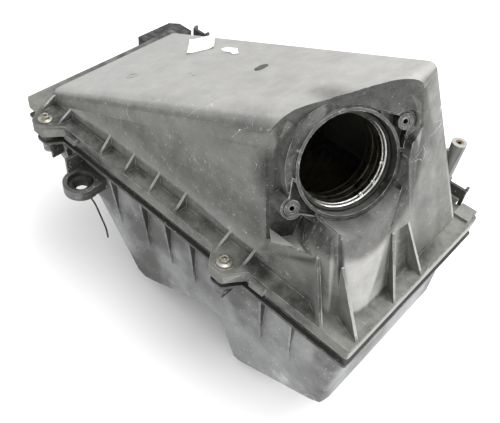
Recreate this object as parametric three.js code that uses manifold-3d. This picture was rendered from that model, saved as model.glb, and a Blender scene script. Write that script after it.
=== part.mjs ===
// Air filter housing for a car engine: a wedge-shaped cover with an oblique outlet port,
// hinged on a deep lower housing that holds a pleated panel filter.
//
// Units are millimetres and +Z is up. X runs along the housing, from the low end of the
// wedge (-X) to the outlet end (+X). The screws are on the -Y side and the hinge on +Y.
// Every piece is drawn with z = 0 on the top face of the cover's flange. At the end the
// whole group is lifted and centred, so that the part's origin is at the bottom centre.

import * as THREE from 'three';
import { ConvexGeometry } from 'three/addons/geometries/ConvexGeometry.js';
import { mergeVertices } from 'three/addons/utils/BufferGeometryUtils.js';
import Module from 'manifold-3d';

const wasm = await Module();
wasm.setup();

// ---- Driving dimensions -------------------------------------------------------------

// Cover flange: a flat rim with a turned-down skirt.
const FLANGE_LENGTH = 410;
const FLANGE_WIDTH = 200;
const FLANGE_THICKNESS = 3;
const FLANGE_CORNER_RADIUS = 3;
const SKIRT_DEPTH = 12;
const HINGE_SKIRT_DEPTH = 8;
const SKIRT_THICKNESS = 2.5;

// Cover body: a wedge whose walls stand inside the flange edge and lean inwards.
const WALL = 2.6;
const WALL_INSET = 14;
const NEAR_LEAN = 0.08;
const END_LEAN = 0.31;
const FAR_LEAN = 0.27;
const FAR_TAPER = 0.014;
const LOW_END_HEIGHT = 8.7;
const TOP_SLOPE = 0.46;
const COVER_BODY_FOOT = -40;
const EDGE_RADIUS = 13;
const FAR_EDGE_RADIUS = 8;
const PORT_CORNER_RADIUS = 27;

// Flat facet cut obliquely off the cover's near outlet corner.
const FACET_YAW = -36;
const FACET_PITCH = 13;
const FACET_FROM_END = 115.1;
const FACET_HEIGHT = 84.2;

// Outlet port: its own axis is yawed and pitched, and it stands out of the facet.
const PORT_YAW = -28.4;
const PORT_PITCH = 23.9;
const PORT_FROM_END = 74;
const PORT_FROM_NEAR_EDGE = 66.5;
const PORT_HEIGHT = 97.8;
const PORT_RIM_RADIUS = 43;
const PORT_RIM_THICKNESS = 2.5;
const PORT_RIM_STAND = 2.5;
const PORT_STEP_DEPTH = 12;
const PORT_STEP = 2;
const PORT_PLATFORM_OUT = 7.5;
const PORT_PLATFORM_DEPTH = 30;
const PORT_SLEEVE_DEPTH = 44;
const PORT_RECESS_CLEARANCE = 2;
const PORT_SCREW_OUT = 10.3;
const PORT_SCREW_ANGLE = 29.5;
const PORT_EAR_RADIUS = 9;
const PORT_EAR_WALL = 1.9;
const PORT_EAR_SPREAD = 27;
const PORT_EAR_WRAP = 105;
const PORT_EAR_ROOT_OUT = 2.5;
const PORT_POCKET_DEPTH = 8;
const PORT_EAR_DEPTH = 22;
const PORT_EAR_BACK = 0.6;
const PORT_BOSS_RADIUS = 6.6;
const PORT_INSERT_RADIUS = 3.4;
const PORT_INSERT_BORE_RADIUS = 2;
const PORT_INSERT_DEPTH = 12.5;
const INSERT_SUNK = 0.4;
const LINER_WALL = 1.9;
const LINER_LIP_WIDTH = 1.5;
const LINER_LIP_THICKNESS = 1.6;
const LINER_END_SUNK = 6;
const PORT_SEAL_RADIUS = 1.6;

// Trough round the lower half of the port, seen along the port's axis: its floor, the
// step up to the arc, the arc's end in degrees, and a shoulder outside the rim.
const TROUGH_FLOOR_OUT = 19;
const TROUGH_STEP_X = [-36, -26];
const TROUGH_ARC_END = 12;
const TROUGH_SHOULDER = [[14, 17], [18, 27]];

// Screw ears on the near side, with their screws and the bosses below them.
const EAR_FROM_LOW_END = 41.7;
const EAR_FROM_OUTLET_END = 124;
const EAR_CENTRE_OUT = 6.5;
const EAR_REACH = 17.5;
const EAR_HALF_ROOT = 20.5;
const EAR_HALF_TIP = 6;
const EAR_ROOT_FLARE = 2;
const EAR_ROOT_SHRINK = 1.6;
const EAR_TIP_SHRINK = 0.6;
const EAR_TIP_CHAMFER = [2.4, 1.2];
const EAR_BOSS_WALL = 2.6;
const EAR_COLLAR_WALL = 3.4;
const EAR_COLLAR_HEIGHT = 0.6;
const EAR_GUSSET_OFFSET = 14;
const SCREW_SHANK_RADIUS = 3;
const SCREW_TIP_RADIUS = 2.5;
const SCREW_TIP_DEPTH = 22;
const SCREW_HEAD_RADIUS = 4.6;
const SCREW_HEAD_HEIGHT = 3.6;
const SCREW_SOCKET_RADIUS = 2;
const SCREW_SOCKET_FLOOR = 1;
const SCREW_SUNK = 0.2;
const SCREW_WASHER_OUT = 2.3;
const SCREW_WASHER_THICKNESS = 1.4;
const SLEEVE_WALL = 1.6;
const BOSS_INSERT_CLEARANCE = 1;
const BOSS_INSERT_WALL = 0.9;
const BOSS_INSERT_RAISED = 9;
const BOSS_WALL = 2.1;
const BOSS_FLOOR = 3;
const BOSS_TOP_GAP = 0.8;
const EAR_SHELF_INSET = 2;
const BOSS_BOTTOM = 36;
const BOSS_WEB_THICKNESS = 2.4;
const BOSS_WEB_BELOW = 14;
const GUIDE_FROM_EAR = 26;
const GUIDE_LENGTH = 15;
const GUIDE_OUT = 4.5;
const GUIDE_BOTTOM = -9;

// Stiffening gussets.
const GUSSET_THICKNESS = 2.4;
const SIDE_GUSSETS_FROM_LOW_END = [115.9, 150, 184, 218];
const SIDE_GUSSET_HEIGHT = 15.5;
const SIDE_GUSSET_FROM_EDGE = 0.4;
const EAR_GUSSET_HEIGHT = 10.5;
const EAR_GUSSET_OUT = 4;
const GUSSET_SUNK = 1.8;
// Tall gussets at the outlet end: each foot and back is in from the end and near edges.
const END_GUSSETS = [
  { foot: [WALL_INSET + 14, 1], back: [WALL_INSET + 36, WALL_INSET + 1], height: 48, lean: 0.1 },
  { foot: [0.6, 10.5], back: [WALL_INSET + 12, WALL_INSET + 6], height: 48, lean: 0.2 },
  { foot: [0.6, 62], back: [WALL_INSET, 70], height: 50, lean: END_LEAN },
  { foot: [0.6, 103], back: [WALL_INSET, 103], height: 44, lean: END_LEAN },
];

// Hinge: flat tongues on the cover's far edge sit in upright loops on the lower housing.
const HINGE_FROM_LOW_END = 42;
const HINGE_FROM_OUTLET_END = 30;
const HINGE_FROM_EDGE = 5;
const TONGUE_WIDTH = 12;
const TONGUE_REACH = 11.5;
const LOOP_THICKNESS = 2.6;
const LOOP_SIDE_CLEARANCE = 1;
const LOOP_SIDE_WALL = 3.5;
const LOOP_TOP = 15.5;
const LOOP_ARM_SUNK = 4;
const LOOP_WINDOW_HALF_HEIGHT = 5.6;
const HORN_WIDTH = 2.4;
const HORN_OUT = 3;
const HORN_DROP = 3;
const HORN_RISE = 2;

// Raised pad on the flange's far outlet corner.
const PAD_FROM_END = 3;
const PAD_LENGTH = 15;
const PAD_WIDTH = 15;
const PAD_OUT = 3;
const PAD_HEIGHT = 3;

// Lower housing.
const LEDGE_TOP = -21;
const LEDGE_THICKNESS = 2.5;
const LEDGE_OUT = 0.8;
const SHELF_WIDTH = 16;
const RIM_TOP = -9;
const RIM_CLEARANCE = 1.5;
const RIM_CORNER_RADIUS = 6;
const BIN_SIDE_INSET = 8;
const BIN_OUTLET_INSET = 8.4;
const BIN_LOW_INSET = 9;
const BIN_CORNER_RADIUS = 10;
const CREASE_Z = -73;
const CREASE_STEP = 2;
const LOW_LOBE_FROM_LOW_END = 162;
const HIGH_LOBE_FROM_OUTLET_END = 109;
const LOBE_Z = [-154, -158];
const SADDLE_BEFORE_LOBE = 37;
const SADDLE_Z = -110;
// Bends of the bin's underside, each set off from the piece of the floor it belongs to.
const LOW_END_BENDS = [[0, -21], [28, -41], [86, -59]];
const LOW_LOBE_BENDS = [[-11, 3], [0, 0], [10, 4]];
const SADDLE_BENDS = [[-7, 0], [7, -3]];
const HIGH_LOBE_BENDS = [[-5, 0], [4, 0]];
const OUTLET_END_BENDS = [[-14, 37], [-4, 44], [0, 52]];
const BIN_RIBS_FROM_LOW_END = [57, 129, 173];
const BIN_RIBS_FROM_OUTLET_END = [204.5, 172, 87, 53.4];
const BIN_RIB_BOTTOM = -91;
const BIN_RIB_THICKNESS = 2.2;

// Mounting ring with its rubber grommet.
const RING_FROM_LOW_END = 97;
const RING_HOLE_CLEAR = 6.8;
const RING_TOP = -40;
const RING_HEIGHT = 11;
const RING_WALL = 4.3;
const RING_ARM_THICKNESS = 2.5;
const RING_HOLE_RADIUS = 13.2;
const GROMMET_FLANGE = 2.5;
const GROMMET_CHAMFER = 1.5;
const GROMMET_LIP = 1.2;
const GROMMET_RECESS = 3.5;
const GROMMET_HOLE_RADIUS = 7;
const TAIL_RADIUS = 0.9;
// The tail's route, out from the grommet's edge and up from its underside.
const TAIL_ROUTE = [[-3, 1], [5, -3], [14, -18], [20, -30], [21.5, -42]];

// Filter element.
const SEAL_CLEARANCE = 1;
const SEAL_OVERHANG = 9.4;
const SEAL_TOP_GAP = 0.4;
const PLEAT_TOP = -8;
const PLEAT_DEPTH = 34;
const PLEAT_PITCH = 8.6;
const PAPER_THICKNESS = 0.8;

// Inlet duct at the far low corner.
const INLET_TOP = -26;
const INLET_BOTTOM = -62;
const INLET_HOOD_TOP = -6;
const INLET_CLEARANCE = 2.5;
const INLET_REACH_X = 21;
const INLET_REACH_Y = 23;
const INLET_MOUTH_WIDTH = 58;
const INLET_HOOD_LENGTH = 30;
const INLET_CHAMFER = 9;
const INLET_WALL = 2.4;
const INLET_NECK_FROM_LOW_END = 55;
const INLET_NECK_WIDTH = 52;
const INLET_NECK_INSIDE = 3;
const INLET_NECK_MARGIN = 4;
const INLET_SEAL_LIP = 3.5;

// Side boss on the far outlet corner.
const SIDE_BOSS_FROM_END = 36;
const SIDE_BOSS_FROM_FAR_EDGE = 24;
const SIDE_BOSS_TOP = 81;
const SIDE_BOSS_BOTTOM = 18;
const SIDE_BOSS_RADIUS = 6.5;
const SIDE_BOSS_FOOT_SHARE = 0.7;
const SIDE_WEB_LENGTH = 24;
const SIDE_WEB_THICKNESS = 3;
const SIDE_WEB_ABOVE_FOOT = 4;
const SIDE_WEB_BELOW_TOP = 8;
const SIDE_INSERT_RADIUS = 3;
const SIDE_INSERT_BORE_RADIUS = 1.9;
const SIDE_INSERT_DEPTH = 13;

// A short fin on the near wall below the facet.
const FIN_FROM_FACET = 12;
const FIN_PEAK = 10;
const FIN_LENGTH = 26;
const FIN_OUT = 4;
const FIN_ROOT_SUNK = 3;
const FIN_HEIGHT = 37;
const FIN_THICKNESS = 2;

// Feet.
const PEG_RADIUS = 5;
const PEG_FROM_SIDE = 32;
const PEG_BOTTOM = -166;
const PEG_SUNK = 4;
const FOOT_RADIUS = 10;
const FOOT_HEIGHT = 11;
const FOOT_SOLE = 6;
const FOOT_TAPER = 1.5;

// Drain spout under the deeper lobe.
const DRAIN_RADIUS = 4;
const DRAIN_WALL = 1.5;
const DRAIN_BELOW = 8;
const DRAIN_ABOVE = 4;
const DRAIN_COLLAR_OUT = 2;
const DRAIN_COLLAR_THICKNESS = 2;

// Labels on the sloping top, placed from the top's low end and from the far wall's foot.
const BLANK_LABEL_HALF = [26, 14];
const BLANK_LABEL_FROM = [81, 33];
const BLANK_LABEL_TURN = -45;
const TORN_LABEL_FROM = [134, 46];
const TORN_LABEL_TURN = -20;
const TORN_LABEL_OUTLINE = [[-16, -4], [-6, -6], [4, -3], [14, -5], [17, 0], [8, 3],
  [2, 6], [-7, 4], [-15, 2]];

// Gaps.
const GAP = 0.3;
const LABEL_THICKNESS = 0.4;

// How far joined shapes run into each other, and a length beyond the whole part.
const SINK = 1;
const BEYOND = 400;

// Worked-out places.
const HALF_LENGTH = FLANGE_LENGTH / 2;
const HALF_WIDTH = FLANGE_WIDTH / 2;
const EAR_X = [-HALF_LENGTH + EAR_FROM_LOW_END, HALF_LENGTH - EAR_FROM_OUTLET_END];
const HINGE_X = [-HALF_LENGTH + HINGE_FROM_LOW_END, HALF_LENGTH - HINGE_FROM_OUTLET_END];
const LOBE_X = [
  -HALF_LENGTH + LOW_LOBE_FROM_LOW_END, HALF_LENGTH - HIGH_LOBE_FROM_OUTLET_END];
const SADDLE_X = LOBE_X[1] - SADDLE_BEFORE_LOBE;
const SIDE_GUSSET_X = SIDE_GUSSETS_FROM_LOW_END.map((along) => -HALF_LENGTH + along);
const BIN_RIB_X = [
  ...BIN_RIBS_FROM_LOW_END.map((along) => -HALF_LENGTH + along),
  ...BIN_RIBS_FROM_OUTLET_END.map((along) => HALF_LENGTH - along)];
const BIN_HALF_WIDTH = HALF_WIDTH - BIN_SIDE_INSET;
const BIN_END_X = HALF_LENGTH - BIN_OUTLET_INSET;
const BIN_LOW_END_X = -HALF_LENGTH + BIN_LOW_INSET;
const PEG_Y = BIN_HALF_WIDTH - PEG_FROM_SIDE;
const RING_X = -HALF_LENGTH + RING_FROM_LOW_END;
const RING_Y = -BIN_HALF_WIDTH - RING_HOLE_CLEAR - RING_HOLE_RADIUS;
const RING_RADIUS = RING_HOLE_RADIUS + RING_WALL;
const INLET_NECK_X = [
  -HALF_LENGTH + INLET_NECK_FROM_LOW_END,
  -HALF_LENGTH + INLET_NECK_FROM_LOW_END + INLET_NECK_WIDTH];
const SIDE_BOSS_X = HALF_LENGTH - SIDE_BOSS_FROM_END;
const SIDE_BOSS_Y = HALF_WIDTH - SIDE_BOSS_FROM_FAR_EDGE;
const LOOP_HALF_WINDOW = TONGUE_WIDTH / 2 + LOOP_SIDE_CLEARANCE;
const LOOP_HALF_WIDTH = LOOP_HALF_WINDOW + LOOP_SIDE_WALL;
const HINGE_Y = HALF_WIDTH + HINGE_FROM_EDGE;
const HINGE_Z = -FLANGE_THICKNESS / 2;
const EAR_Y = -HALF_WIDTH - EAR_CENTRE_OUT;
const SLEEVE_INNER = SCREW_SHANK_RADIUS + GAP;
const SLEEVE_OUTER = SLEEVE_INNER + SLEEVE_WALL;
const BOSS_INSERT_BORE = SCREW_TIP_RADIUS + BOSS_INSERT_CLEARANCE;
const BOSS_INSERT_RADIUS = BOSS_INSERT_BORE + BOSS_INSERT_WALL;
const BOSS_RADIUS = BOSS_INSERT_RADIUS + GAP + BOSS_WALL;
const BOSS_TOP = -SKIRT_DEPTH - BOSS_TOP_GAP;
const SCREW_WASHER_RADIUS = SLEEVE_OUTER + SCREW_WASHER_OUT;
const RIM_OUT_X = HALF_LENGTH - SKIRT_THICKNESS - RIM_CLEARANCE;
const RIM_OUT_Y = HALF_WIDTH - SKIRT_THICKNESS - RIM_CLEARANCE;
const BORE_RADIUS = PORT_RIM_RADIUS - PORT_RIM_THICKNESS;
const THROAT_RADIUS = BORE_RADIUS - PORT_STEP;
const PORT_PLATFORM_RADIUS = PORT_RIM_RADIUS + PORT_PLATFORM_OUT;
const PORT_SCREW_RADIUS = PORT_RIM_RADIUS + PORT_SCREW_OUT;

// ---- Materials ----------------------------------------------------------------------

function finish(color, roughness, metalness = 0) {
  return new THREE.MeshStandardMaterial({ color, roughness, metalness });
}

const coverPlastic = finish(0x4a4c4a, 0.55);
const housingPlastic = finish(0x55575a, 0.6);
const inletPlastic = finish(0x222324, 0.6);
const rubber = finish(0x1b1b1b, 0.85);
const steel = finish(0x9a9a94, 0.35, 1);
const brass = finish(0xb08d4a, 0.35, 1);
const paper = finish(0xd8cfae, 0.9);
const foamSeal = finish(0x2c2e33, 0.8);
const labelPaper = finish(0xf4f4f2, 0.7);

// ---- Geometry helpers ---------------------------------------------------------------

// A closed three.js geometry as a solid that can be joined and cut.
function solid(geometry) {
  const bare = geometry.clone();
  bare.deleteAttribute('normal');
  bare.deleteAttribute('uv');
  const merged = mergeVertices(bare, 1e-4);
  const vertProperties = new Float32Array(merged.attributes.position.array);
  const triVerts = new Uint32Array(merged.index.array);
  return new wasm.Manifold(new wasm.Mesh({ numProp: 3, vertProperties, triVerts }));
}

// A solid back as a named mesh.
function piece(name, shape, material) {
  const mesh = shape.getMesh();
  const geometry = new THREE.BufferGeometry();
  geometry.setAttribute('position', new THREE.BufferAttribute(mesh.vertProperties, 3));
  geometry.setIndex(new THREE.BufferAttribute(mesh.triVerts, 1));
  geometry.computeVertexNormals();
  const result = new THREE.Mesh(geometry, material);
  result.name = name;
  return result;
}

function joined(shapes) {
  return shapes.reduce((whole, shape) => whole.add(shape));
}

function box(x0, x1, y0, y1, z0, z1) {
  const geometry = new THREE.BoxGeometry(x1 - x0, y1 - y0, z1 - z0);
  geometry.translate((x0 + x1) / 2, (y0 + y1) / 2, (z0 + z1) / 2);
  return solid(geometry);
}

// A round bar along Z, or a cone where the two radii differ.
function bar(x, y, z0, z1, radius, sides = 24, topRadius = radius) {
  const geometry = new THREE.CylinderGeometry(topRadius, radius, z1 - z0, sides);
  geometry.rotateX(Math.PI / 2);
  geometry.translate(x, y, (z0 + z1) / 2);
  return solid(geometry);
}

// A ring along Z, turned from a rectangular profile.
function ring(x, y, z0, z1, inner, outer, sides = 32) {
  const profile = [
    new THREE.Vector2(inner, z0), new THREE.Vector2(outer, z0),
    new THREE.Vector2(outer, z1), new THREE.Vector2(inner, z1),
    new THREE.Vector2(inner, z0),
  ];
  const geometry = new THREE.LatheGeometry(profile, sides);
  geometry.rotateX(Math.PI / 2);
  geometry.translate(x, y, 0);
  return solid(geometry);
}

function outline(points) {
  return new THREE.Shape(points.map(([x, y]) => new THREE.Vector2(x, y)));
}

// An outline in the XY plane carried from z0 up to z1.
function slab(shape, z0, z1, curveSegments = 6) {
  const settings = { depth: z1 - z0, bevelEnabled: false, curveSegments };
  const geometry = new THREE.ExtrudeGeometry(shape, settings);
  geometry.translate(0, 0, z0);
  return solid(geometry);
}

// An outline of [x, z] points carried from y0 to y1.
function slabAlongY(points, y0, y1) {
  const settings = { depth: y1 - y0, bevelEnabled: false };
  const geometry = new THREE.ExtrudeGeometry(outline(points), settings);
  geometry.rotateX(Math.PI / 2);
  geometry.translate(0, y1, 0);
  return solid(geometry);
}

function roundedRectangle(x0, x1, y0, y1, radius) {
  const shape = new THREE.Shape();
  shape.absarc(x1 - radius, y1 - radius, radius, 0, Math.PI / 2);
  shape.absarc(x0 + radius, y1 - radius, radius, Math.PI / 2, Math.PI);
  shape.absarc(x0 + radius, y0 + radius, radius, Math.PI, 1.5 * Math.PI);
  shape.absarc(x1 - radius, y0 + radius, radius, 1.5 * Math.PI, 2 * Math.PI);
  return shape;
}

// A plate with a rounded rectangular outline, centred on the housing.
function centredPlate(halfX, halfY, z0, z1, radius) {
  return slab(roundedRectangle(-halfX, halfX, -halfY, halfY, radius), z0, z1, 4);
}

// A rectangular frame: one centred plate with a smaller one cut out of it.
function frame(halfX, halfY, width, z0, z1, radius) {
  const inner = centredPlate(halfX - width, halfY - width, z0 - 1, z1 + 1,
    Math.max(radius - width, 1));
  return centredPlate(halfX, halfY, z0, z1, radius).subtract(inner);
}

// A closed outline moved inwards by a distance, corner by corner (outline anticlockwise).
function insetOutline(points, distance) {
  const count = points.length;
  return points.map(([x, y], i) => {
    const before = points[(i + count - 1) % count];
    const after = points[(i + 1) % count];
    const first = new THREE.Vector2(x - before[0], y - before[1]).normalize();
    const second = new THREE.Vector2(after[0] - x, after[1] - y).normalize();
    const normal = new THREE.Vector2(-first.y - second.y, first.x + second.x).normalize();
    const reach = distance / (normal.x * -first.y + normal.y * first.x);
    return [x + normal.x * reach, y + normal.y * reach];
  });
}

// The unit vector of a direction given by its yaw from +X and its pitch above level.
function direction(yaw, pitch) {
  const a = THREE.MathUtils.degToRad(yaw);
  const e = THREE.MathUtils.degToRad(pitch);
  return new THREE.Vector3(
    Math.cos(e) * Math.cos(a), Math.cos(e) * Math.sin(a), Math.sin(e));
}

// A frame at a place whose third axis is a direction and whose first axis is level.
function turnedFrame(place, normal) {
  const across = new THREE.Vector3(0, 0, 1).cross(normal).normalize();
  const up = new THREE.Vector3().crossVectors(normal, across);
  return new THREE.Matrix4().makeBasis(across, up, normal).setPosition(place);
}

function placed(shape, matrix) {
  return shape.transform(matrix.elements);
}

// ---- Cover body ---------------------------------------------------------------------

// The planes of the wedge, all facing out.
function plane(nx, ny, nz, x, y, z) {
  const normal = new THREE.Vector3(nx, ny, nz).normalize();
  return new THREE.Plane().setFromNormalAndCoplanarPoint(
    normal, new THREE.Vector3(x, y, z));
}

const wallX = HALF_LENGTH - WALL_INSET;
const wallY = HALF_WIDTH - WALL_INSET;
const nearPlane = plane(0, -1, NEAR_LEAN, 0, -wallY, 0);
const farPlane = plane(FAR_TAPER, 1, FAR_LEAN, wallX, wallY, 0);
const outletPlane = plane(1, 0, END_LEAN, wallX, 0, 0);
const lowPlane = plane(-1, 0, END_LEAN, -wallX, 0, 0);
const topPlane = plane(-TOP_SLOPE, 0, 1, -wallX, 0, LOW_END_HEIGHT);
const footPlane = plane(0, 0, -1, 0, 0, COVER_BODY_FOOT);
const facetNormal = direction(FACET_YAW, FACET_PITCH);
const facetPoint = new THREE.Vector3(
  HALF_LENGTH - FACET_FROM_END, -wallY + NEAR_LEAN * FACET_HEIGHT, FACET_HEIGHT);

// The point at one distance inside each of three planes.
function cornerInside(planes, distance) {
  const [a, b, c] = planes;
  const rows = new THREE.Matrix3().set(
    a.normal.x, a.normal.y, a.normal.z,
    b.normal.x, b.normal.y, b.normal.z,
    c.normal.x, c.normal.y, c.normal.z);
  const sides = planes.map((p) => -p.constant - distance);
  return new THREE.Vector3(...sides).applyMatrix3(rows.invert());
}

// The wedge with rounded edges: the hull of a ball in each corner. The same balls with
// a smaller radius make the inside, so the wall is even.
function wedge(thinner) {
  const points = [];
  const corners = [
    [lowPlane, nearPlane, footPlane, EDGE_RADIUS],
    [lowPlane, farPlane, footPlane, FAR_EDGE_RADIUS],
    [outletPlane, farPlane, footPlane, FAR_EDGE_RADIUS],
    [outletPlane, nearPlane, footPlane, PORT_CORNER_RADIUS],
    [lowPlane, nearPlane, topPlane, EDGE_RADIUS],
    [lowPlane, farPlane, topPlane, FAR_EDGE_RADIUS],
    [outletPlane, farPlane, topPlane, FAR_EDGE_RADIUS],
    [outletPlane, nearPlane, topPlane, PORT_CORNER_RADIUS],
  ];
  for (const [a, b, c, radius] of corners) {
    const centre = cornerInside([a, b, c], radius);
    const ball = new THREE.SphereGeometry(radius - thinner, 20, 14);
    ball.rotateX(Math.PI / 2);
    const places = ball.attributes.position;
    for (let i = 0; i < places.count; i += 1) {
      points.push(new THREE.Vector3().fromBufferAttribute(places, i).add(centre));
    }
  }
  return solid(new ConvexGeometry(points));
}

const portNormal = direction(PORT_YAW, PORT_PITCH);
const portPlace = new THREE.Vector3(
  HALF_LENGTH - PORT_FROM_END, -HALF_WIDTH + PORT_FROM_NEAR_EDGE, PORT_HEIGHT);
const portFrame = turnedFrame(portPlace, portNormal);

// What is cut off the outlet corner: all that lies in front of the facet and above a
// trough that runs round the lower half of the port, seen along the port's axis.
function facetCut(deeper) {
  const recess = PORT_RIM_RADIUS + PORT_RECESS_CLEARANCE + deeper;
  const low = -PORT_RIM_RADIUS - TROUGH_FLOOR_OUT - deeper;
  const [stepFoot, stepHead] = TROUGH_STEP_X.map((x) => x + deeper);
  const arcStart = -Math.acos(stepHead / recess);
  const arcEnd = THREE.MathUtils.degToRad(TROUGH_ARC_END);
  const shape = new THREE.Shape();
  shape.moveTo(-BEYOND, low);
  shape.lineTo(stepFoot, low);
  shape.absarc(0, 0, recess, arcStart, arcEnd);
  for (const [out, up] of TROUGH_SHOULDER) {
    shape.lineTo(PORT_RIM_RADIUS + out + deeper, up - deeper);
  }
  shape.lineTo(BEYOND, TROUGH_SHOULDER[1][1] - deeper);
  shape.lineTo(BEYOND, BEYOND);
  shape.lineTo(-BEYOND, BEYOND);
  const trough = placed(slab(shape, -BEYOND, BEYOND, 20), portFrame);
  const front = placed(box(-BEYOND, BEYOND, -BEYOND, BEYOND, -deeper, BEYOND),
    turnedFrame(facetPoint, facetNormal));
  return trough.intersect(front);
}

// ---- Outlet port --------------------------------------------------------------------

function portScrewPlace(side) {
  const angle = THREE.MathUtils.degToRad(PORT_SCREW_ANGLE);
  const radius = side * PORT_SCREW_RADIUS;
  return [radius * Math.cos(angle), radius * Math.sin(angle)];
}

// The outline of one ear: straight sides from the rim to a round end about the screw.
function earOutline(side, thinner) {
  const [x, y] = portScrewPlace(side);
  const along = Math.atan2(y, x);
  const spread = THREE.MathUtils.degToRad(PORT_EAR_SPREAD);
  const wrap = THREE.MathUtils.degToRad(PORT_EAR_WRAP);
  const root = PORT_RIM_RADIUS + PORT_EAR_ROOT_OUT;
  const narrower = 1.6 * thinner / root;
  const shape = new THREE.Shape();
  shape.moveTo(0.6 * x, 0.6 * y);
  shape.lineTo(root * Math.cos(along - spread + narrower),
    root * Math.sin(along - spread + narrower));
  shape.absarc(x, y, PORT_EAR_RADIUS - thinner, along - wrap, along + wrap);
  shape.lineTo(root * Math.cos(along + spread - narrower),
    root * Math.sin(along + spread - narrower));
  return shape;
}

// The port's solid shape, before its bore is cut: a platform, the rim and the two ears.
function portSolid() {
  const platform = bar(0, 0, -PORT_PLATFORM_DEPTH, -PORT_RIM_STAND, PORT_PLATFORM_RADIUS, 56);
  const rim = bar(0, 0, -PORT_PLATFORM_DEPTH, 0, PORT_RIM_RADIUS, 56);
  const inlet = bar(0, 0, -PORT_SLEEVE_DEPTH, SINK - PORT_PLATFORM_DEPTH, THROAT_RADIUS + WALL, 56);
  const sides = [1, -1].map((side) => slab(
    earOutline(side, 0), -PORT_EAR_DEPTH, -PORT_EAR_BACK, 12).add(portBoss(side)));
  return joined([platform, rim, inlet, ...sides]);
}

function portBoss(side) {
  const [x, y] = portScrewPlace(side);
  return bar(x, y, -PORT_EAR_DEPTH, 0, PORT_BOSS_RADIUS, 20);
}

// The hollows in the ears, beside the screw bosses.
function portPockets() {
  const rim = bar(0, 0, -PORT_PLATFORM_DEPTH, SINK, PORT_RIM_RADIUS, 56);
  return joined([1, -1].map((side) => slab(
    earOutline(side, PORT_EAR_WALL), -PORT_POCKET_DEPTH, SINK, 12)
    .subtract(portBoss(side)).subtract(rim)));
}

// The clear space in front of the rim and the ears.
function portSeat(wider) {
  const radius = PORT_RIM_RADIUS + PORT_RECESS_CLEARANCE + wider;
  const rim = bar(0, 0, -PORT_RIM_STAND - wider, BEYOND, radius, 56);
  const seats = [1, -1].map((side) => slab(
    earOutline(side, -SINK - wider), -PORT_RIM_STAND - wider, BEYOND, 12));
  return rim.add(joined(seats));
}

// The stepped bore and the blind holes for the two screw inserts.
function portHoles() {
  const holes = [1, -1].map((side) => {
    const [x, y] = portScrewPlace(side);
    return bar(x, y, -PORT_INSERT_DEPTH - GAP, SINK, PORT_INSERT_RADIUS + GAP, 16);
  });
  return bar(0, 0, -PORT_STEP_DEPTH, BEYOND, BORE_RADIUS, 56)
    .add(bar(0, 0, -PORT_SLEEVE_DEPTH - THROAT_RADIUS, SINK, THROAT_RADIUS, 56))
    .add(joined(holes));
}

function portPieces() {
  const lipTop = -PORT_STEP_DEPTH + LINER_LIP_THICKNESS;
  const liner = ring(0, 0, -PORT_SLEEVE_DEPTH + LINER_END_SUNK, lipTop,
    THROAT_RADIUS - GAP - LINER_WALL, THROAT_RADIUS - GAP, 48);
  const lip = ring(0, 0, -PORT_STEP_DEPTH + GAP, lipTop,
    THROAT_RADIUS - LINER_LIP_WIDTH, BORE_RADIUS - GAP, 48);
  const sealProfile = [];
  for (let i = 0; i <= 8; i += 1) {
    const angle = i * Math.PI / 4;
    sealProfile.push(new THREE.Vector2(
      BORE_RADIUS - GAP - PORT_SEAL_RADIUS + PORT_SEAL_RADIUS * Math.cos(angle),
      PORT_SEAL_RADIUS * Math.sin(angle)));
  }
  const sealGeometry = new THREE.LatheGeometry(sealProfile, 48);
  sealGeometry.rotateX(Math.PI / 2);
  sealGeometry.translate(0, 0, lipTop + GAP + PORT_SEAL_RADIUS);
  const pieces = [
    piece('port_liner', placed(liner.add(lip), portFrame), steel),
    piece('port_seal', placed(solid(sealGeometry), portFrame), rubber),
  ];
  for (const side of [1, -1]) {
    const [x, y] = portScrewPlace(side);
    const insert = ring(x, y, -PORT_INSERT_DEPTH, -INSERT_SUNK,
      PORT_INSERT_BORE_RADIUS, PORT_INSERT_RADIUS, 16);
    const name = side > 0 ? 'port_insert_upper' : 'port_insert_lower';
    pieces.push(piece(name, placed(insert, portFrame), steel));
  }
  return pieces;
}

// ---- Cover details ------------------------------------------------------------------

// An upright triangular plate from a foot on the flange to a wall behind it. The top of
// its back edge leans in with the wall.
function gusset(foot, back, height, lean) {
  const along = new THREE.Vector2(back[0] - foot[0], back[1] - foot[1]);
  const reach = along.length();
  const behind = reach + GUSSET_SUNK;
  const shape = outline([[0, -SINK], [behind, -SINK], [behind, 0],
    [behind + lean * height, height], [reach + lean * height, height], [0, 0]]);
  const settings = { depth: GUSSET_THICKNESS, bevelEnabled: false };
  const geometry = new THREE.ExtrudeGeometry(shape, settings);
  geometry.translate(0, 0, -GUSSET_THICKNESS / 2);
  geometry.rotateX(Math.PI / 2);
  geometry.rotateZ(along.angle());
  geometry.translate(foot[0], foot[1], 0);
  return solid(geometry);
}

function coverGussets() {
  const shapes = SIDE_GUSSET_X.map((x) => gusset(
    [x, -HALF_WIDTH + SIDE_GUSSET_FROM_EDGE], [x, -wallY], SIDE_GUSSET_HEIGHT, NEAR_LEAN));
  for (const ear of EAR_X) {
    for (const side of [-1, 1]) {
      const x = ear + side * EAR_GUSSET_OFFSET;
      shapes.push(gusset(
        [x, -HALF_WIDTH - EAR_GUSSET_OUT], [x, -wallY], EAR_GUSSET_HEIGHT, NEAR_LEAN));
    }
  }
  for (const { foot, back, height, lean } of END_GUSSETS) {
    shapes.push(gusset([HALF_LENGTH - foot[0], -HALF_WIDTH + foot[1]],
      [HALF_LENGTH - back[0], -HALF_WIDTH + back[1]], height, lean));
  }
  return joined(shapes);
}

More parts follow.
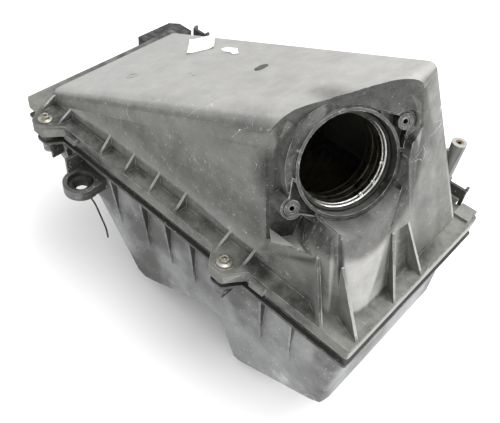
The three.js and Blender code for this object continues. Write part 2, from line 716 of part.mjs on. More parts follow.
// An ear's outline, or a smaller one inside it.
function earShape(x, smaller) {
  const root = EAR_HALF_ROOT - EAR_ROOT_SHRINK * smaller;
  const tip = EAR_HALF_TIP - EAR_TIP_SHRINK * smaller;
  const [chamferX, chamferY] = EAR_TIP_CHAMFER;
  const y0 = -HALF_WIDTH + EAR_ROOT_FLARE;
  const y1 = -HALF_WIDTH - EAR_REACH + smaller;
  return outline([
    [x - root - EAR_ROOT_FLARE, y0], [x - root, -HALF_WIDTH],
    [x - tip - chamferX, y1 + chamferY], [x - tip, y1],
    [x + tip, y1], [x + tip + chamferX, y1 + chamferY],
    [x + root, -HALF_WIDTH], [x + root + EAR_ROOT_FLARE, y0]]);
}

function ears() {
  const shapes = EAR_X.map((x) => {
    const block = slab(earShape(x, 0), -SKIRT_DEPTH, 0);
    const pocket = slab(
      earShape(x, SKIRT_THICKNESS), -SKIRT_DEPTH - SINK, -FLANGE_THICKNESS);
    const boss = bar(x, EAR_Y, -SKIRT_DEPTH, -SINK, SLEEVE_OUTER + EAR_BOSS_WALL);
    const collar = bar(x, EAR_Y, -SINK, EAR_COLLAR_HEIGHT, SLEEVE_OUTER + EAR_COLLAR_WALL);
    return block.subtract(pocket).add(boss).add(collar);
  });
  return joined(shapes);
}

function earHoles() {
  return joined(EAR_X.map((x) => bar(x, EAR_Y, -SKIRT_DEPTH - SINK,
    EAR_COLLAR_HEIGHT + SINK, SLEEVE_OUTER + GAP)));
}

// Small blocks on the skirt beside each ear that guide the cover on to the housing.
function guideBlocks() {
  return joined(EAR_X.map((x) => box(x + GUIDE_FROM_EAR, x + GUIDE_FROM_EAR + GUIDE_LENGTH,
    -HALF_WIDTH - GUIDE_OUT, -HALF_WIDTH + SINK, GUIDE_BOTTOM, -FLANGE_THICKNESS)));
}

// A raised pad on the flange's far outlet corner.
function cornerPad() {
  const end = HALF_LENGTH - PAD_FROM_END;
  return box(end - PAD_LENGTH, end, HALF_WIDTH - PAD_WIDTH, HALF_WIDTH + PAD_OUT,
    -FLANGE_THICKNESS, PAD_HEIGHT);
}

function tongues() {
  return joined(HINGE_X.map((x) => box(x - TONGUE_WIDTH / 2, x + TONGUE_WIDTH / 2,
    HALF_WIDTH - SKIRT_THICKNESS, HALF_WIDTH + TONGUE_REACH, -FLANGE_THICKNESS, 0)));
}

// A tapered hollow boss beside the outlet end's far corner, with a web back to the wall.
function sideBoss() {
  const boss = bar(SIDE_BOSS_X, SIDE_BOSS_Y, SIDE_BOSS_BOTTOM, SIDE_BOSS_TOP,
    SIDE_BOSS_FOOT_SHARE * SIDE_BOSS_RADIUS, 20, SIDE_BOSS_RADIUS);
  const web = box(-SIDE_WEB_LENGTH, 0, -SIDE_WEB_THICKNESS / 2, SIDE_WEB_THICKNESS / 2,
    SIDE_BOSS_BOTTOM + SIDE_WEB_ABOVE_FOOT, SIDE_BOSS_TOP - SIDE_WEB_BELOW_TOP);
  const diagonal = web.rotate([0, 0, 45]).translate([SIDE_BOSS_X, SIDE_BOSS_Y, 0]);
  return boss.add(diagonal);
}

function wallFin() {
  const x = facetPoint.x + FIN_FROM_FACET;
  const root = -wallY + NEAR_LEAN * FIN_HEIGHT + FIN_ROOT_SUNK;
  const shape = outline([[x, root], [x + FIN_PEAK, -wallY - FIN_OUT], [x + FIN_LENGTH, root]]);
  return slab(shape, FIN_HEIGHT, FIN_HEIGHT + FIN_THICKNESS);
}

function upperCover() {
  const above = box(-BEYOND, BEYOND, -BEYOND, BEYOND, -FLANGE_THICKNESS, BEYOND);
  let outer = wedge(0).intersect(above).subtract(facetCut(0));
  outer = outer.add(centredPlate(HALF_LENGTH, HALF_WIDTH, -FLANGE_THICKNESS, 0,
    FLANGE_CORNER_RADIUS));
  outer = outer.add(sideBoss()).add(coverGussets()).add(wallFin());
  const inside = wedge(WALL).subtract(facetCut(WALL))
    .subtract(placed(portSeat(WALL), portFrame));
  let cover = outer.subtract(placed(portSeat(0), portFrame)).subtract(inside);
  cover = cover.add(placed(portSolid(), portFrame).intersect(above));
  const skirt = frame(HALF_LENGTH, HALF_WIDTH, SKIRT_THICKNESS, -SKIRT_DEPTH, -SINK,
    FLANGE_CORNER_RADIUS);
  const hingeSide = box(-BEYOND, BEYOND, HALF_WIDTH - FLANGE_CORNER_RADIUS - SKIRT_THICKNESS,
    HALF_WIDTH + SINK, -SKIRT_DEPTH - SINK, -HINGE_SKIRT_DEPTH);
  cover = cover.add(skirt.subtract(hingeSide));
  cover = cover.add(ears()).add(guideBlocks()).add(tongues()).add(cornerPad());
  cover = cover.subtract(placed(portPockets(), portFrame))
    .subtract(placed(portHoles(), portFrame)).subtract(earHoles());
  const sideHole = bar(SIDE_BOSS_X, SIDE_BOSS_Y, SIDE_BOSS_TOP - SIDE_INSERT_DEPTH - SINK,
    SIDE_BOSS_TOP + SINK, SIDE_INSERT_RADIUS + GAP, 16);
  return cover.subtract(sideHole);
}

// ---- Lower housing ------------------------------------------------------------------

// The bin's side view as [x, z] points, anticlockwise from the top outlet corner. Its
// floor sags in two lobes with a saddle between them.
function binOutline() {
  const bends = (x, z, offsets) => offsets.map(([along, up]) => [x + along, z + up]);
  return [
    [BIN_END_X, LEDGE_TOP], [BIN_LOW_END_X, LEDGE_TOP],
    ...bends(BIN_LOW_END_X, LEDGE_TOP, LOW_END_BENDS),
    ...bends(LOBE_X[0], LOBE_Z[0], LOW_LOBE_BENDS),
    ...bends(SADDLE_X, SADDLE_Z, SADDLE_BENDS),
    ...bends(LOBE_X[1], LOBE_Z[1], HIGH_LOBE_BENDS),
    ...bends(BIN_END_X, LOBE_Z[1], OUTLET_END_BENDS),
  ];
}

// The bin at one distance inside its outer skin. Below the crease its long sides step in.
function bin(thinner) {
  const points = insetOutline(binOutline(), thinner);
  const top = thinner > 0 ? -LEDGE_TOP : 0;
  points[0][1] = LEDGE_TOP + top;
  points[1][1] = LEDGE_TOP + top;
  const upperY = BIN_HALF_WIDTH - thinner;
  const lowerY = upperY - CREASE_STEP;
  const upper = slabAlongY(points, -upperY, upperY)
    .intersect(box(-BEYOND, BEYOND, -BEYOND, BEYOND, CREASE_Z, BEYOND));
  const rounded = slab(roundedRectangle(BIN_LOW_END_X + thinner, BIN_END_X - thinner,
    -upperY, upperY, BIN_CORNER_RADIUS - thinner), -BEYOND, BEYOND, 4);
  return upper.add(slabAlongY(points, -lowerY, lowerY)).intersect(rounded);
}

function binRib(x) {
  const top = LEDGE_TOP - SINK;
  const root = -BIN_HALF_WIDTH + CREASE_STEP + SINK;
  const shape = outline([[root, top], [-HALF_WIDTH - LEDGE_OUT, top],
    [-BIN_HALF_WIDTH + SINK, BIN_RIB_BOTTOM], [root, BIN_RIB_BOTTOM]]);
  const settings = { depth: BIN_RIB_THICKNESS, bevelEnabled: false };
  const geometry = new THREE.ExtrudeGeometry(shape, settings);
  geometry.rotateX(Math.PI / 2);
  geometry.rotateZ(Math.PI / 2);
  geometry.translate(x - BIN_RIB_THICKNESS / 2, 0, 0);
  return solid(geometry);
}

// A boss under each ear, on a shelf that grows out of the ledge.
function screwBosses() {
  return joined(EAR_X.map((x) => {
    const shelf = slab(
      earShape(x, EAR_SHELF_INSET), LEDGE_TOP - LEDGE_THICKNESS, LEDGE_TOP);
    const boss = bar(x, EAR_Y, -BOSS_BOTTOM, BOSS_TOP, BOSS_RADIUS);
    const web = box(x - BOSS_WEB_THICKNESS / 2, x + BOSS_WEB_THICKNESS / 2, EAR_Y,
      -BIN_HALF_WIDTH + SINK, -BOSS_BOTTOM - BOSS_WEB_BELOW, LEDGE_TOP);
    return shelf.add(boss).add(web);
  }));
}

// A ring on the near wall that takes the mounting grommet, with its arm.
function mountRing() {
  const bottom = RING_TOP - RING_HEIGHT;
  const bridge = box(RING_X - RING_RADIUS + SINK, RING_X + RING_RADIUS - SINK, RING_Y,
    -BIN_HALF_WIDTH + SINK, bottom, RING_TOP);
  const armStart = RING_X - RING_RADIUS - SINK;
  const arm = box(armStart, armStart + RING_ARM_THICKNESS, RING_Y - RING_ARM_THICKNESS,
    -BIN_HALF_WIDTH + SINK, bottom, LEDGE_TOP - SINK);
  return bar(RING_X, RING_Y, bottom, RING_TOP, RING_RADIUS, 32).add(bridge).add(arm)
    .subtract(bar(RING_X, RING_Y, bottom - SINK, RING_TOP + SINK, RING_HOLE_RADIUS, 32));
}

// Upright loops for the tongues. The horns grow from the loops' outer faces only, so that
// the cover's far wall clears them as it swings up.
function hingeLoops() {
  const y0 = HINGE_Y - LOOP_THICKNESS / 2;
  const y1 = HINGE_Y + LOOP_THICKNESS / 2;
  return joined(HINGE_X.map((x) => {
    const plate = box(x - LOOP_HALF_WIDTH, x + LOOP_HALF_WIDTH, y0, y1,
      LEDGE_TOP - LEDGE_THICKNESS, LOOP_TOP);
    const window = box(x - LOOP_HALF_WINDOW, x + LOOP_HALF_WINDOW, y0 - SINK, y1 + SINK,
      HINGE_Z - LOOP_WINDOW_HALF_HEIGHT, HINGE_Z + LOOP_WINDOW_HALF_HEIGHT);
    const arm = box(x - LOOP_HALF_WIDTH, x + LOOP_HALF_WIDTH, HALF_WIDTH - LOOP_ARM_SUNK, y1,
      LEDGE_TOP - LEDGE_THICKNESS, LEDGE_TOP);
    const hornCentre = LOOP_HALF_WIDTH - HORN_WIDTH / 2;
    const horns = [-1, 1].map((side) => box(
      x + side * hornCentre - HORN_WIDTH / 2, x + side * hornCentre + HORN_WIDTH / 2,
      HINGE_Y, y1 + HORN_OUT, LOOP_TOP - HORN_DROP, LOOP_TOP + HORN_RISE));
    return plate.subtract(window).add(arm).add(joined(horns));
  }));
}

function pegs() {
  const shapes = [];
  for (const i of [0, 1]) {
    for (const side of [-1, 1]) {
      shapes.push(bar(LOBE_X[i], side * PEG_Y, PEG_BOTTOM, LOBE_Z[i] + PEG_SUNK, PEG_RADIUS, 20));
    }
  }
  return joined(shapes);
}

function lowerHousing() {
  const ledge = frame(HALF_LENGTH + LEDGE_OUT, HALF_WIDTH + LEDGE_OUT, SHELF_WIDTH,
    LEDGE_TOP - LEDGE_THICKNESS, LEDGE_TOP, FLANGE_CORNER_RADIUS);
  const rim = frame(RIM_OUT_X, RIM_OUT_Y, WALL, LEDGE_TOP - SINK, RIM_TOP,
    RIM_CORNER_RADIUS);
  let housing = bin(0).add(joined(BIN_RIB_X.map(binRib))).add(mountRing()).add(pegs());
  housing = housing.subtract(bin(WALL));
  housing = housing.add(ledge).add(rim).add(screwBosses()).add(hingeLoops());
  const holes = EAR_X.map((x) => bar(x, EAR_Y, -BOSS_BOTTOM + BOSS_FLOOR, 0,
    BOSS_INSERT_RADIUS + GAP));
  const neck = inletNeck(0, BIN_HALF_WIDTH - WALL - 2 * SINK, BIN_HALF_WIDTH + SINK);
  const drain = bar(LOBE_X[1], 0, LOBE_Z[1] - DRAIN_BELOW, SADDLE_Z, DRAIN_RADIUS + GAP, 16);
  return housing.subtract(joined(holes)).subtract(neck).subtract(drain);
}

// ---- Filter element -----------------------------------------------------------------

function filterPieces() {
  const halfX = RIM_OUT_X - WALL - SEAL_CLEARANCE;
  const halfY = RIM_OUT_Y - WALL - SEAL_CLEARANCE;
  const innerX = HALF_LENGTH + LEDGE_OUT - SHELF_WIDTH - SEAL_OVERHANG;
  const innerY = HALF_WIDTH + LEDGE_OUT - SHELF_WIDTH - SEAL_OVERHANG;
  const seal = frame(halfX, halfY, halfX - innerX, LEDGE_TOP + GAP,
    -FLANGE_THICKNESS - SEAL_TOP_GAP, RIM_CORNER_RADIUS);
  const mediaX = innerX - GAP;
  const mediaY = innerY - GAP;
  const pleats = Math.round(2 * mediaX / PLEAT_PITCH);
  const pitch = 2 * mediaX / pleats;
  const slope = Math.hypot(pitch / 2, PLEAT_DEPTH) / (pitch / 2);
  const rise = PAPER_THICKNESS * slope / 2;
  const upper = [];
  const lower = [];
  for (let i = 0; i <= 2 * pleats; i += 1) {
    const x = -mediaX + i * pitch / 2;
    const middle = i % 2 === 0 ? PLEAT_TOP - PLEAT_DEPTH + rise : PLEAT_TOP - rise;
    upper.push([x, middle + rise]);
    lower.push([x, middle - rise]);
  }
  const media = slabAlongY([...lower, ...upper.reverse()], -mediaY, mediaY);
  return [piece('filter_seal_frame', seal, foamSeal), piece('filter_media', media, paper)];
}

// ---- Fasteners and small pieces -----------------------------------------------------

// A captive screw: a hexagon head on a flange washer, a shank and a thinner tip.
function coverScrew(x) {
  const seat = EAR_COLLAR_HEIGHT + GAP;
  const headFoot = seat + SCREW_WASHER_THICKNESS;
  const headTop = headFoot + SCREW_HEAD_HEIGHT;
  const washer = bar(x, EAR_Y, seat, headFoot, SCREW_WASHER_RADIUS);
  const head = bar(x, EAR_Y, headFoot - SCREW_SUNK, headTop, SCREW_HEAD_RADIUS, 6);
  const socket = bar(x, EAR_Y, headFoot + SCREW_SOCKET_FLOOR, headTop + SINK,
    SCREW_SOCKET_RADIUS, 6);
  const shank = bar(x, EAR_Y, -SKIRT_DEPTH, seat + SCREW_SUNK, SCREW_SHANK_RADIUS, 16);
  const tip = bar(x, EAR_Y, -SCREW_TIP_DEPTH, -SKIRT_DEPTH + SCREW_SUNK, SCREW_TIP_RADIUS, 16);
  return washer.add(head).subtract(socket).add(shank).add(tip);
}

function fasteners() {
  const pieces = [];
  EAR_X.forEach((x, i) => {
    const number = i + 1;
    const sleeve = ring(
      x, EAR_Y, -SKIRT_DEPTH, EAR_COLLAR_HEIGHT, SLEEVE_INNER, SLEEVE_OUTER, 24);
    const insert = ring(x, EAR_Y, -BOSS_BOTTOM + BOSS_INSERT_RAISED, BOSS_TOP - INSERT_SUNK,
      BOSS_INSERT_BORE, BOSS_INSERT_RADIUS, 20);
    pieces.push(piece(`cover_screw_${number}`, coverScrew(x), steel));
    pieces.push(piece(`screw_sleeve_${number}`, sleeve, steel));
    pieces.push(piece(`boss_insert_${number}`, insert, brass));
  });
  const boss = ring(SIDE_BOSS_X, SIDE_BOSS_Y, SIDE_BOSS_TOP - SIDE_INSERT_DEPTH,
    SIDE_BOSS_TOP - INSERT_SUNK, SIDE_INSERT_BORE_RADIUS, SIDE_INSERT_RADIUS, 16);
  pieces.push(piece('side_boss_insert', boss, brass));
  return pieces;
}

// The mounting grommet, seated low in its ring, and the tail it is pulled in by.
function mountPieces() {
  const bottom = RING_TOP - RING_HEIGHT;
  const underside = bottom - GROMMET_FLANGE;
  const top = RING_TOP - GROMMET_RECESS;
  const inside = RING_HOLE_RADIUS - GAP;
  const outside = inside + GROMMET_LIP;
  const profile = [
    [GROMMET_HOLE_RADIUS, underside], [outside, underside],
    [outside, bottom - GAP], [inside, bottom - GAP], [inside, top - GROMMET_CHAMFER],
    [inside - GROMMET_CHAMFER, top], [GROMMET_HOLE_RADIUS + GROMMET_CHAMFER, top],
    [GROMMET_HOLE_RADIUS, top - GROMMET_CHAMFER], [GROMMET_HOLE_RADIUS, underside],
  ].map(([r, z]) => new THREE.Vector2(r, z));
  const grommetGeometry = new THREE.LatheGeometry(profile, 32);
  grommetGeometry.rotateX(Math.PI / 2);
  grommetGeometry.translate(RING_X, RING_Y, 0);
  const path = new THREE.CatmullRomCurve3(TAIL_ROUTE.map(([out, up]) => new THREE.Vector3(
    RING_X + outside + out, RING_Y, underside + up)));
  const circle = new THREE.Shape();
  circle.absarc(0, 0, TAIL_RADIUS, 0, 2 * Math.PI);
  const tailGeometry = new THREE.ExtrudeGeometry(circle,
    { steps: 14, extrudePath: path, curveSegments: 4 });
  const grommet = solid(grommetGeometry).add(solid(tailGeometry));
  return [piece('mount_grommet', grommet, rubber)];
}

// The inlet duct's outside, or its inside when it is drawn thinner by a wall: a hood with
// its mouth at the low end, and a lower run along the bin's far wall.
function inletShell(thinner) {
  const open = thinner > 0 ? INLET_HOOD_LENGTH : 0;
  const x0 = -HALF_LENGTH - INLET_REACH_X + thinner - open;
  const beside = -HALF_LENGTH - INLET_CLEARANCE - thinner;
  const y0 = HALF_WIDTH + INLET_CLEARANCE + thinner;
  const y1 = HALF_WIDTH + INLET_REACH_Y - thinner;
  const mouthY = HALF_WIDTH + INLET_REACH_Y - INLET_MOUTH_WIDTH + thinner;
  const xHood = -HALF_LENGTH - INLET_REACH_X + INLET_HOOD_LENGTH - thinner;
  const hood = slab(outline([[x0, mouthY], [beside, mouthY], [beside, y0], [xHood, y0],
    [xHood, y1], [x0 + INLET_CHAMFER - thinner + open, y1],
    [x0 + open, y1 - INLET_CHAMFER + thinner], [x0, y1 - INLET_CHAMFER + thinner]]),
  INLET_BOTTOM + thinner, INLET_HOOD_TOP - thinner);
  const run = box(-HALF_LENGTH, INLET_NECK_X[1] + INLET_NECK_MARGIN + INLET_WALL - thinner,
    y0, y1, INLET_BOTTOM + thinner, INLET_TOP - thinner);
  return hood.add(run);
}

// A rectangular plug through the bin's far wall, and beyond it by a reach each way.
function inletNeck(thinner, y0, y1) {
  return box(INLET_NECK_X[0] + thinner, INLET_NECK_X[1] - thinner, y0, y1,
    INLET_BOTTOM + INLET_NECK_MARGIN + thinner, INLET_TOP - INLET_NECK_MARGIN - thinner);
}

function inletPieces() {
  const inside = BIN_HALF_WIDTH - WALL - INLET_NECK_INSIDE;
  const face = HALF_WIDTH + INLET_CLEARANCE;
  const wall = GAP + INLET_WALL;
  const duct = inletShell(0).add(inletNeck(GAP, inside, face + SINK))
    .subtract(inletShell(INLET_WALL))
    .subtract(inletNeck(wall, inside - SINK, face + INLET_WALL + SINK));
  const sealed = BIN_HALF_WIDTH + GAP;
  const seal = inletNeck(-INLET_SEAL_LIP, sealed, face - GAP)
    .subtract(inletNeck(-GAP, sealed - SINK, face + SINK));
  return [
    piece('inlet_duct', duct, inletPlastic),
    piece('inlet_seal', seal, rubber),
  ];
}

// Rubber feet pressed on to the pegs, and the drain spout.
function feet() {
  const pieces = [];
  const bottom = PEG_BOTTOM - FOOT_SOLE;
  const top = bottom + FOOT_HEIGHT;
  const inner = PEG_RADIUS + GAP;
  const profile = [[0, bottom], [FOOT_RADIUS, bottom], [FOOT_RADIUS - FOOT_TAPER, top],
    [inner, top], [inner, PEG_BOTTOM - GAP], [0, PEG_BOTTOM - GAP]]
    .map(([r, z]) => new THREE.Vector2(r, z));
  let number = 0;
  for (const x of LOBE_X) {
    for (const side of [-1, 1]) {
      number += 1;
      const geometry = new THREE.LatheGeometry(profile, 24);
      geometry.rotateX(Math.PI / 2);
      geometry.translate(x, side * PEG_Y, 0);
      pieces.push(piece(`rubber_foot_${number}`, solid(geometry), rubber));
    }
  }
  const floor = LOBE_Z[1];
  const low = floor - DRAIN_BELOW;
  const high = floor + DRAIN_ABOVE;
  const spout = bar(LOBE_X[1], 0, low, high, DRAIN_RADIUS, 16)
    .add(bar(LOBE_X[1], 0, floor - GAP - DRAIN_COLLAR_THICKNESS, floor - GAP,
      DRAIN_RADIUS + DRAIN_COLLAR_OUT, 16))
    .subtract(bar(LOBE_X[1], 0, low - SINK, high + SINK, DRAIN_RADIUS - DRAIN_WALL, 16));
  pieces.push(piece('drain_valve', spout, rubber));
  return pieces;
}

// A thin patch lying on the sloping top, at a distance from the top's low end and in from
// the far wall's foot.
function patch(name, shape, [along, inwards], turn) {
  const settings = { depth: LABEL_THICKNESS, bevelEnabled: false };
  const geometry = new THREE.ExtrudeGeometry(shape, settings);
  geometry.rotateZ(THREE.MathUtils.degToRad(turn));
  geometry.translate(0, 0, GAP);
  geometry.rotateY(-Math.atan(TOP_SLOPE));
  geometry.translate(
    -wallX + along, wallY - inwards, LOW_END_HEIGHT + TOP_SLOPE * along);
  return piece(name, solid(geometry), labelPaper);
}

function labels() {
  const [halfLong, halfWide] = BLANK_LABEL_HALF;
  const blank = roundedRectangle(-halfLong, halfLong, -halfWide, halfWide, 1.5);
  return [
    patch('blank_label', blank, BLANK_LABEL_FROM, BLANK_LABEL_TURN),
    patch('torn_label', outline(TORN_LABEL_OUTLINE), TORN_LABEL_FROM, TORN_LABEL_TURN),
  ];
}

// ---- Assembly -----------------------------------------------------------------------

const housingGroup = new THREE.Group();
housingGroup.add(
  piece('upper_cover', upperCover(), coverPlastic),
  piece('lower_housing', lowerHousing(), housingPlastic),
  ...filterPieces(),
  ...fasteners(),
  ...portPieces(),
  ...mountPieces(),
  ...inletPieces(),
  ...feet(),
  ...labels(),
);

// The origin goes to the bottom centre of the whole part.
const extent = new THREE.Box3().setFromObject(housingGroup);
const middle = extent.getCenter(new THREE.Vector3());
const lifted = new THREE.Group();
housingGroup.position.set(-middle.x, -middle.y, -extent.min.z);
lifted.add(housingGroup);

export default lifted;
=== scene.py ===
"""Air filter housing: the finish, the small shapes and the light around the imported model."""
import math

import bmesh
import bpy
import numpy as np
from mathutils import Matrix, Vector


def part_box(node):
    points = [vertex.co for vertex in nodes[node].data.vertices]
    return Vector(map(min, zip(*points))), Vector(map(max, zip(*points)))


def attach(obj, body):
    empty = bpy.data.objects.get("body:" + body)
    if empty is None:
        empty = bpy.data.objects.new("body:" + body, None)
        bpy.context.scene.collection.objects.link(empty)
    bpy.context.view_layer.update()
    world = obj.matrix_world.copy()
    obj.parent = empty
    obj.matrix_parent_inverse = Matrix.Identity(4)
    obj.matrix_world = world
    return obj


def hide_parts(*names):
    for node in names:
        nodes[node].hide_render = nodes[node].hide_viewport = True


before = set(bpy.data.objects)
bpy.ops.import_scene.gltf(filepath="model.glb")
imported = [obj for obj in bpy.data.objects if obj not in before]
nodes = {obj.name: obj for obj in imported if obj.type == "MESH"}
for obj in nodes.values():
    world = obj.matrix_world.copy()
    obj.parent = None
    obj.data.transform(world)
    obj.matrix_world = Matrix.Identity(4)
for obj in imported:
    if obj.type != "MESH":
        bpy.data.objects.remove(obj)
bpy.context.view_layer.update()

# ---- Place of the flange -----------------------------------------------------------------
# Every piece hangs off the middle of the cover's flange, which is found from the cover's box.
# The flange's top face is the skirt's depth above the cover's lowest edge.
FLANGE_LENGTH = 0.410
SKIRT_DEPTH = 0.012
EAR_REACH = 0.0175
FLANGE_HALF_WIDTH = 0.100
cover_low, cover_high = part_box("upper_cover")
flange = Vector((cover_low.x + FLANGE_LENGTH / 2,
                 cover_low.y + FLANGE_HALF_WIDTH + EAR_REACH,
                 cover_low.z + SKIRT_DEPTH))


def at(x, y, z):
    """A place given in millimetres from the middle of the flange's top face, in metres."""
    return flange + Vector((x, y, z)) / 1000


def heading(yaw, pitch):
    """The unit vector at a yaw from +X and a pitch above level, both in degrees."""
    a, e = math.radians(yaw), math.radians(pitch)
    return Vector((math.cos(e) * math.cos(a), math.cos(e) * math.sin(a), math.sin(e)))


# ---- Camera, floor and light -------------------------------------------------------------
# A high three-quarter view over the screw side, towards the outlet corner, tipped a little.
# The floor is one pale sheet that curves up behind, and the light is a wide soft overhead
# panel with a weaker one at the outlet end, in a bright room.
EYE = at(286.7, -352.5, 406.4)
EYE_YAW, EYE_PITCH, EYE_ROLL = -52.89, 46.89, 7.35
FOCAL_LENGTH = 45.24

scene = bpy.context.scene
camera_data = bpy.data.cameras.new("camera")
camera_data.lens = FOCAL_LENGTH
camera_data.sensor_width = 36
camera_data.clip_start = 0.01
camera_data.clip_end = 50
camera = bpy.data.objects.new("camera", camera_data)
turn = heading(EYE_YAW, EYE_PITCH).to_track_quat("Z", "Y").to_matrix().to_4x4()
tip = Matrix.Rotation(math.radians(EYE_ROLL), 4, "Z")
camera.matrix_world = Matrix.Translation(EYE) @ turn @ tip
scene.collection.objects.link(camera)
scene.camera = camera


def new_mesh(name, points, faces, smooth=True):
    """A mesh object at the origin from an array of points and a list or array of faces."""
    mesh = bpy.data.meshes.new(name)
    faces = faces if isinstance(faces, list) else faces.tolist()
    mesh.from_pydata(np.asarray(points).reshape(-1, 3).tolist(), [], faces)
    mesh.validate()
    mesh.shade_smooth() if smooth else mesh.shade_flat()
    obj = bpy.data.objects.new(name, mesh)
    scene.collection.objects.link(obj)
    return obj


def face_outwards(mesh, weld=0.0):
    """Turns every face outwards, after welding points closer than weld if it is given."""
    work = bmesh.new()
    work.from_mesh(mesh)
    if weld:
        bmesh.ops.remove_doubles(work, verts=work.verts, dist=weld)
    bmesh.ops.recalc_face_normals(work, faces=work.faces)
    work.to_mesh(mesh)
    work.free()


def sheet_faces(rows, columns, around=False):
    """Quads over a grid of rows by columns of points; around joins the last column to the first."""
    r = np.arange(rows - 1)[:, None]
    c = np.arange(columns if around else columns - 1)[None, :]
    d = (c + 1) % columns
    quads = np.stack(np.broadcast_arrays(r * columns + c, r * columns + d,
                                         (r + 1) * columns + d, (r + 1) * columns + c), -1)
    return quads.reshape(-1, 4)


FLOOR_FRONT, FLOOR_BACK, FLOOR_BEND, FLOOR_HALF = -3.0, 2.2, 0.8, 4.0
FLOOR_ROWS, FLOOR_COLUMNS, FLOOR_LEVEL_SHARE, FLOOR_WALL = 60, 3, 0.6, 2.0
u = np.linspace(0, 1, FLOOR_ROWS)
v = np.linspace(-FLOOR_HALF, FLOOR_HALF, FLOOR_COLUMNS)
bend = np.clip((u - FLOOR_LEVEL_SHARE) / (1 - FLOOR_LEVEL_SHARE), 0, 1)
run = FLOOR_FRONT + (FLOOR_BACK - FLOOR_FRONT) * np.minimum(u / FLOOR_LEVEL_SHARE, 1)
run = run + FLOOR_BEND * np.sin(bend * math.pi / 2)
rise = FLOOR_BEND * (1 - np.cos(bend * math.pi / 2)) + np.where(bend < 1, 0.0, FLOOR_WALL)
floor_points = np.stack(np.broadcast_arrays(v[None, :], run[:, None], rise[:, None]), -1)
floor = new_mesh("floor", floor_points, sheet_faces(FLOOR_ROWS, FLOOR_COLUMNS)[:, ::-1])

world = bpy.data.worlds.new("room")
scene.world = world
world.use_nodes = True
world.node_tree.nodes["Background"].inputs["Color"].default_value = (1, 1, 1, 1)
world.node_tree.nodes["Background"].inputs["Strength"].default_value = 1.1
scene.view_settings.view_transform = "Standard"


def panel_light(name, place, aim, size, power):
    """A square soft light at a place, turned to face a point."""
    data = bpy.data.lights.new(name, "AREA")
    data.shape = "SQUARE"
    data.size = size
    data.energy = power
    light = bpy.data.objects.new(name, data)
    light.location = place
    light.rotation_euler = (Vector(aim) - Vector(place)).to_track_quat("-Z", "Y").to_euler()
    scene.collection.objects.link(light)


panel_light("overhead", (0.3, 0.5, 1.6), (0, 0, 0.2), 1.4, 26)
panel_light("outlet_side", (1.5, 0.2, 0.8), (0, 0, 0.2), 1.0, 12)


# ---- Shader expressions ------------------------------------------------------------------
# The finishes below are written as sums. A Wire is one node's output, and arithmetic on it
# adds Math nodes. Colours are mixed with Mix nodes, and all else goes through Finish.node.
class Wire:
    """A shader output that can be added, multiplied and so on with numbers and other wires."""

    def __init__(self, finish, socket):
        self.finish = finish
        self.socket = socket

    def math(self, operation, *others):
        return self.finish.node("ShaderNodeMath", {"operation": operation},
                                dict(enumerate((self, *others))))

    def __add__(self, other):
        return self.math("ADD", other)

    def __radd__(self, other):
        return self.math("ADD", other)

    def __mul__(self, other):
        return self.math("MULTIPLY", other)

    def __rmul__(self, other):
        return self.math("MULTIPLY", other)

    def __sub__(self, other):
        return self.math("SUBTRACT", other)

    def __rsub__(self, other):
        return self.finish.node("ShaderNodeMath", {"operation": "SUBTRACT"}, {0: other, 1: self})

    def clamp(self):
        return self.finish.node("ShaderNodeClamp", {}, {"Value": self})

    def step(self, low, high, start=0.0, end=1.0):
        """Goes smoothly from start to end as the wire goes from low to high."""
        return self.finish.node("ShaderNodeMapRange", {"interpolation_type": "SMOOTHSTEP"},
                                {"Value": self, "From Min": low, "From Max": high,
                                 "To Min": start, "To Max": end})


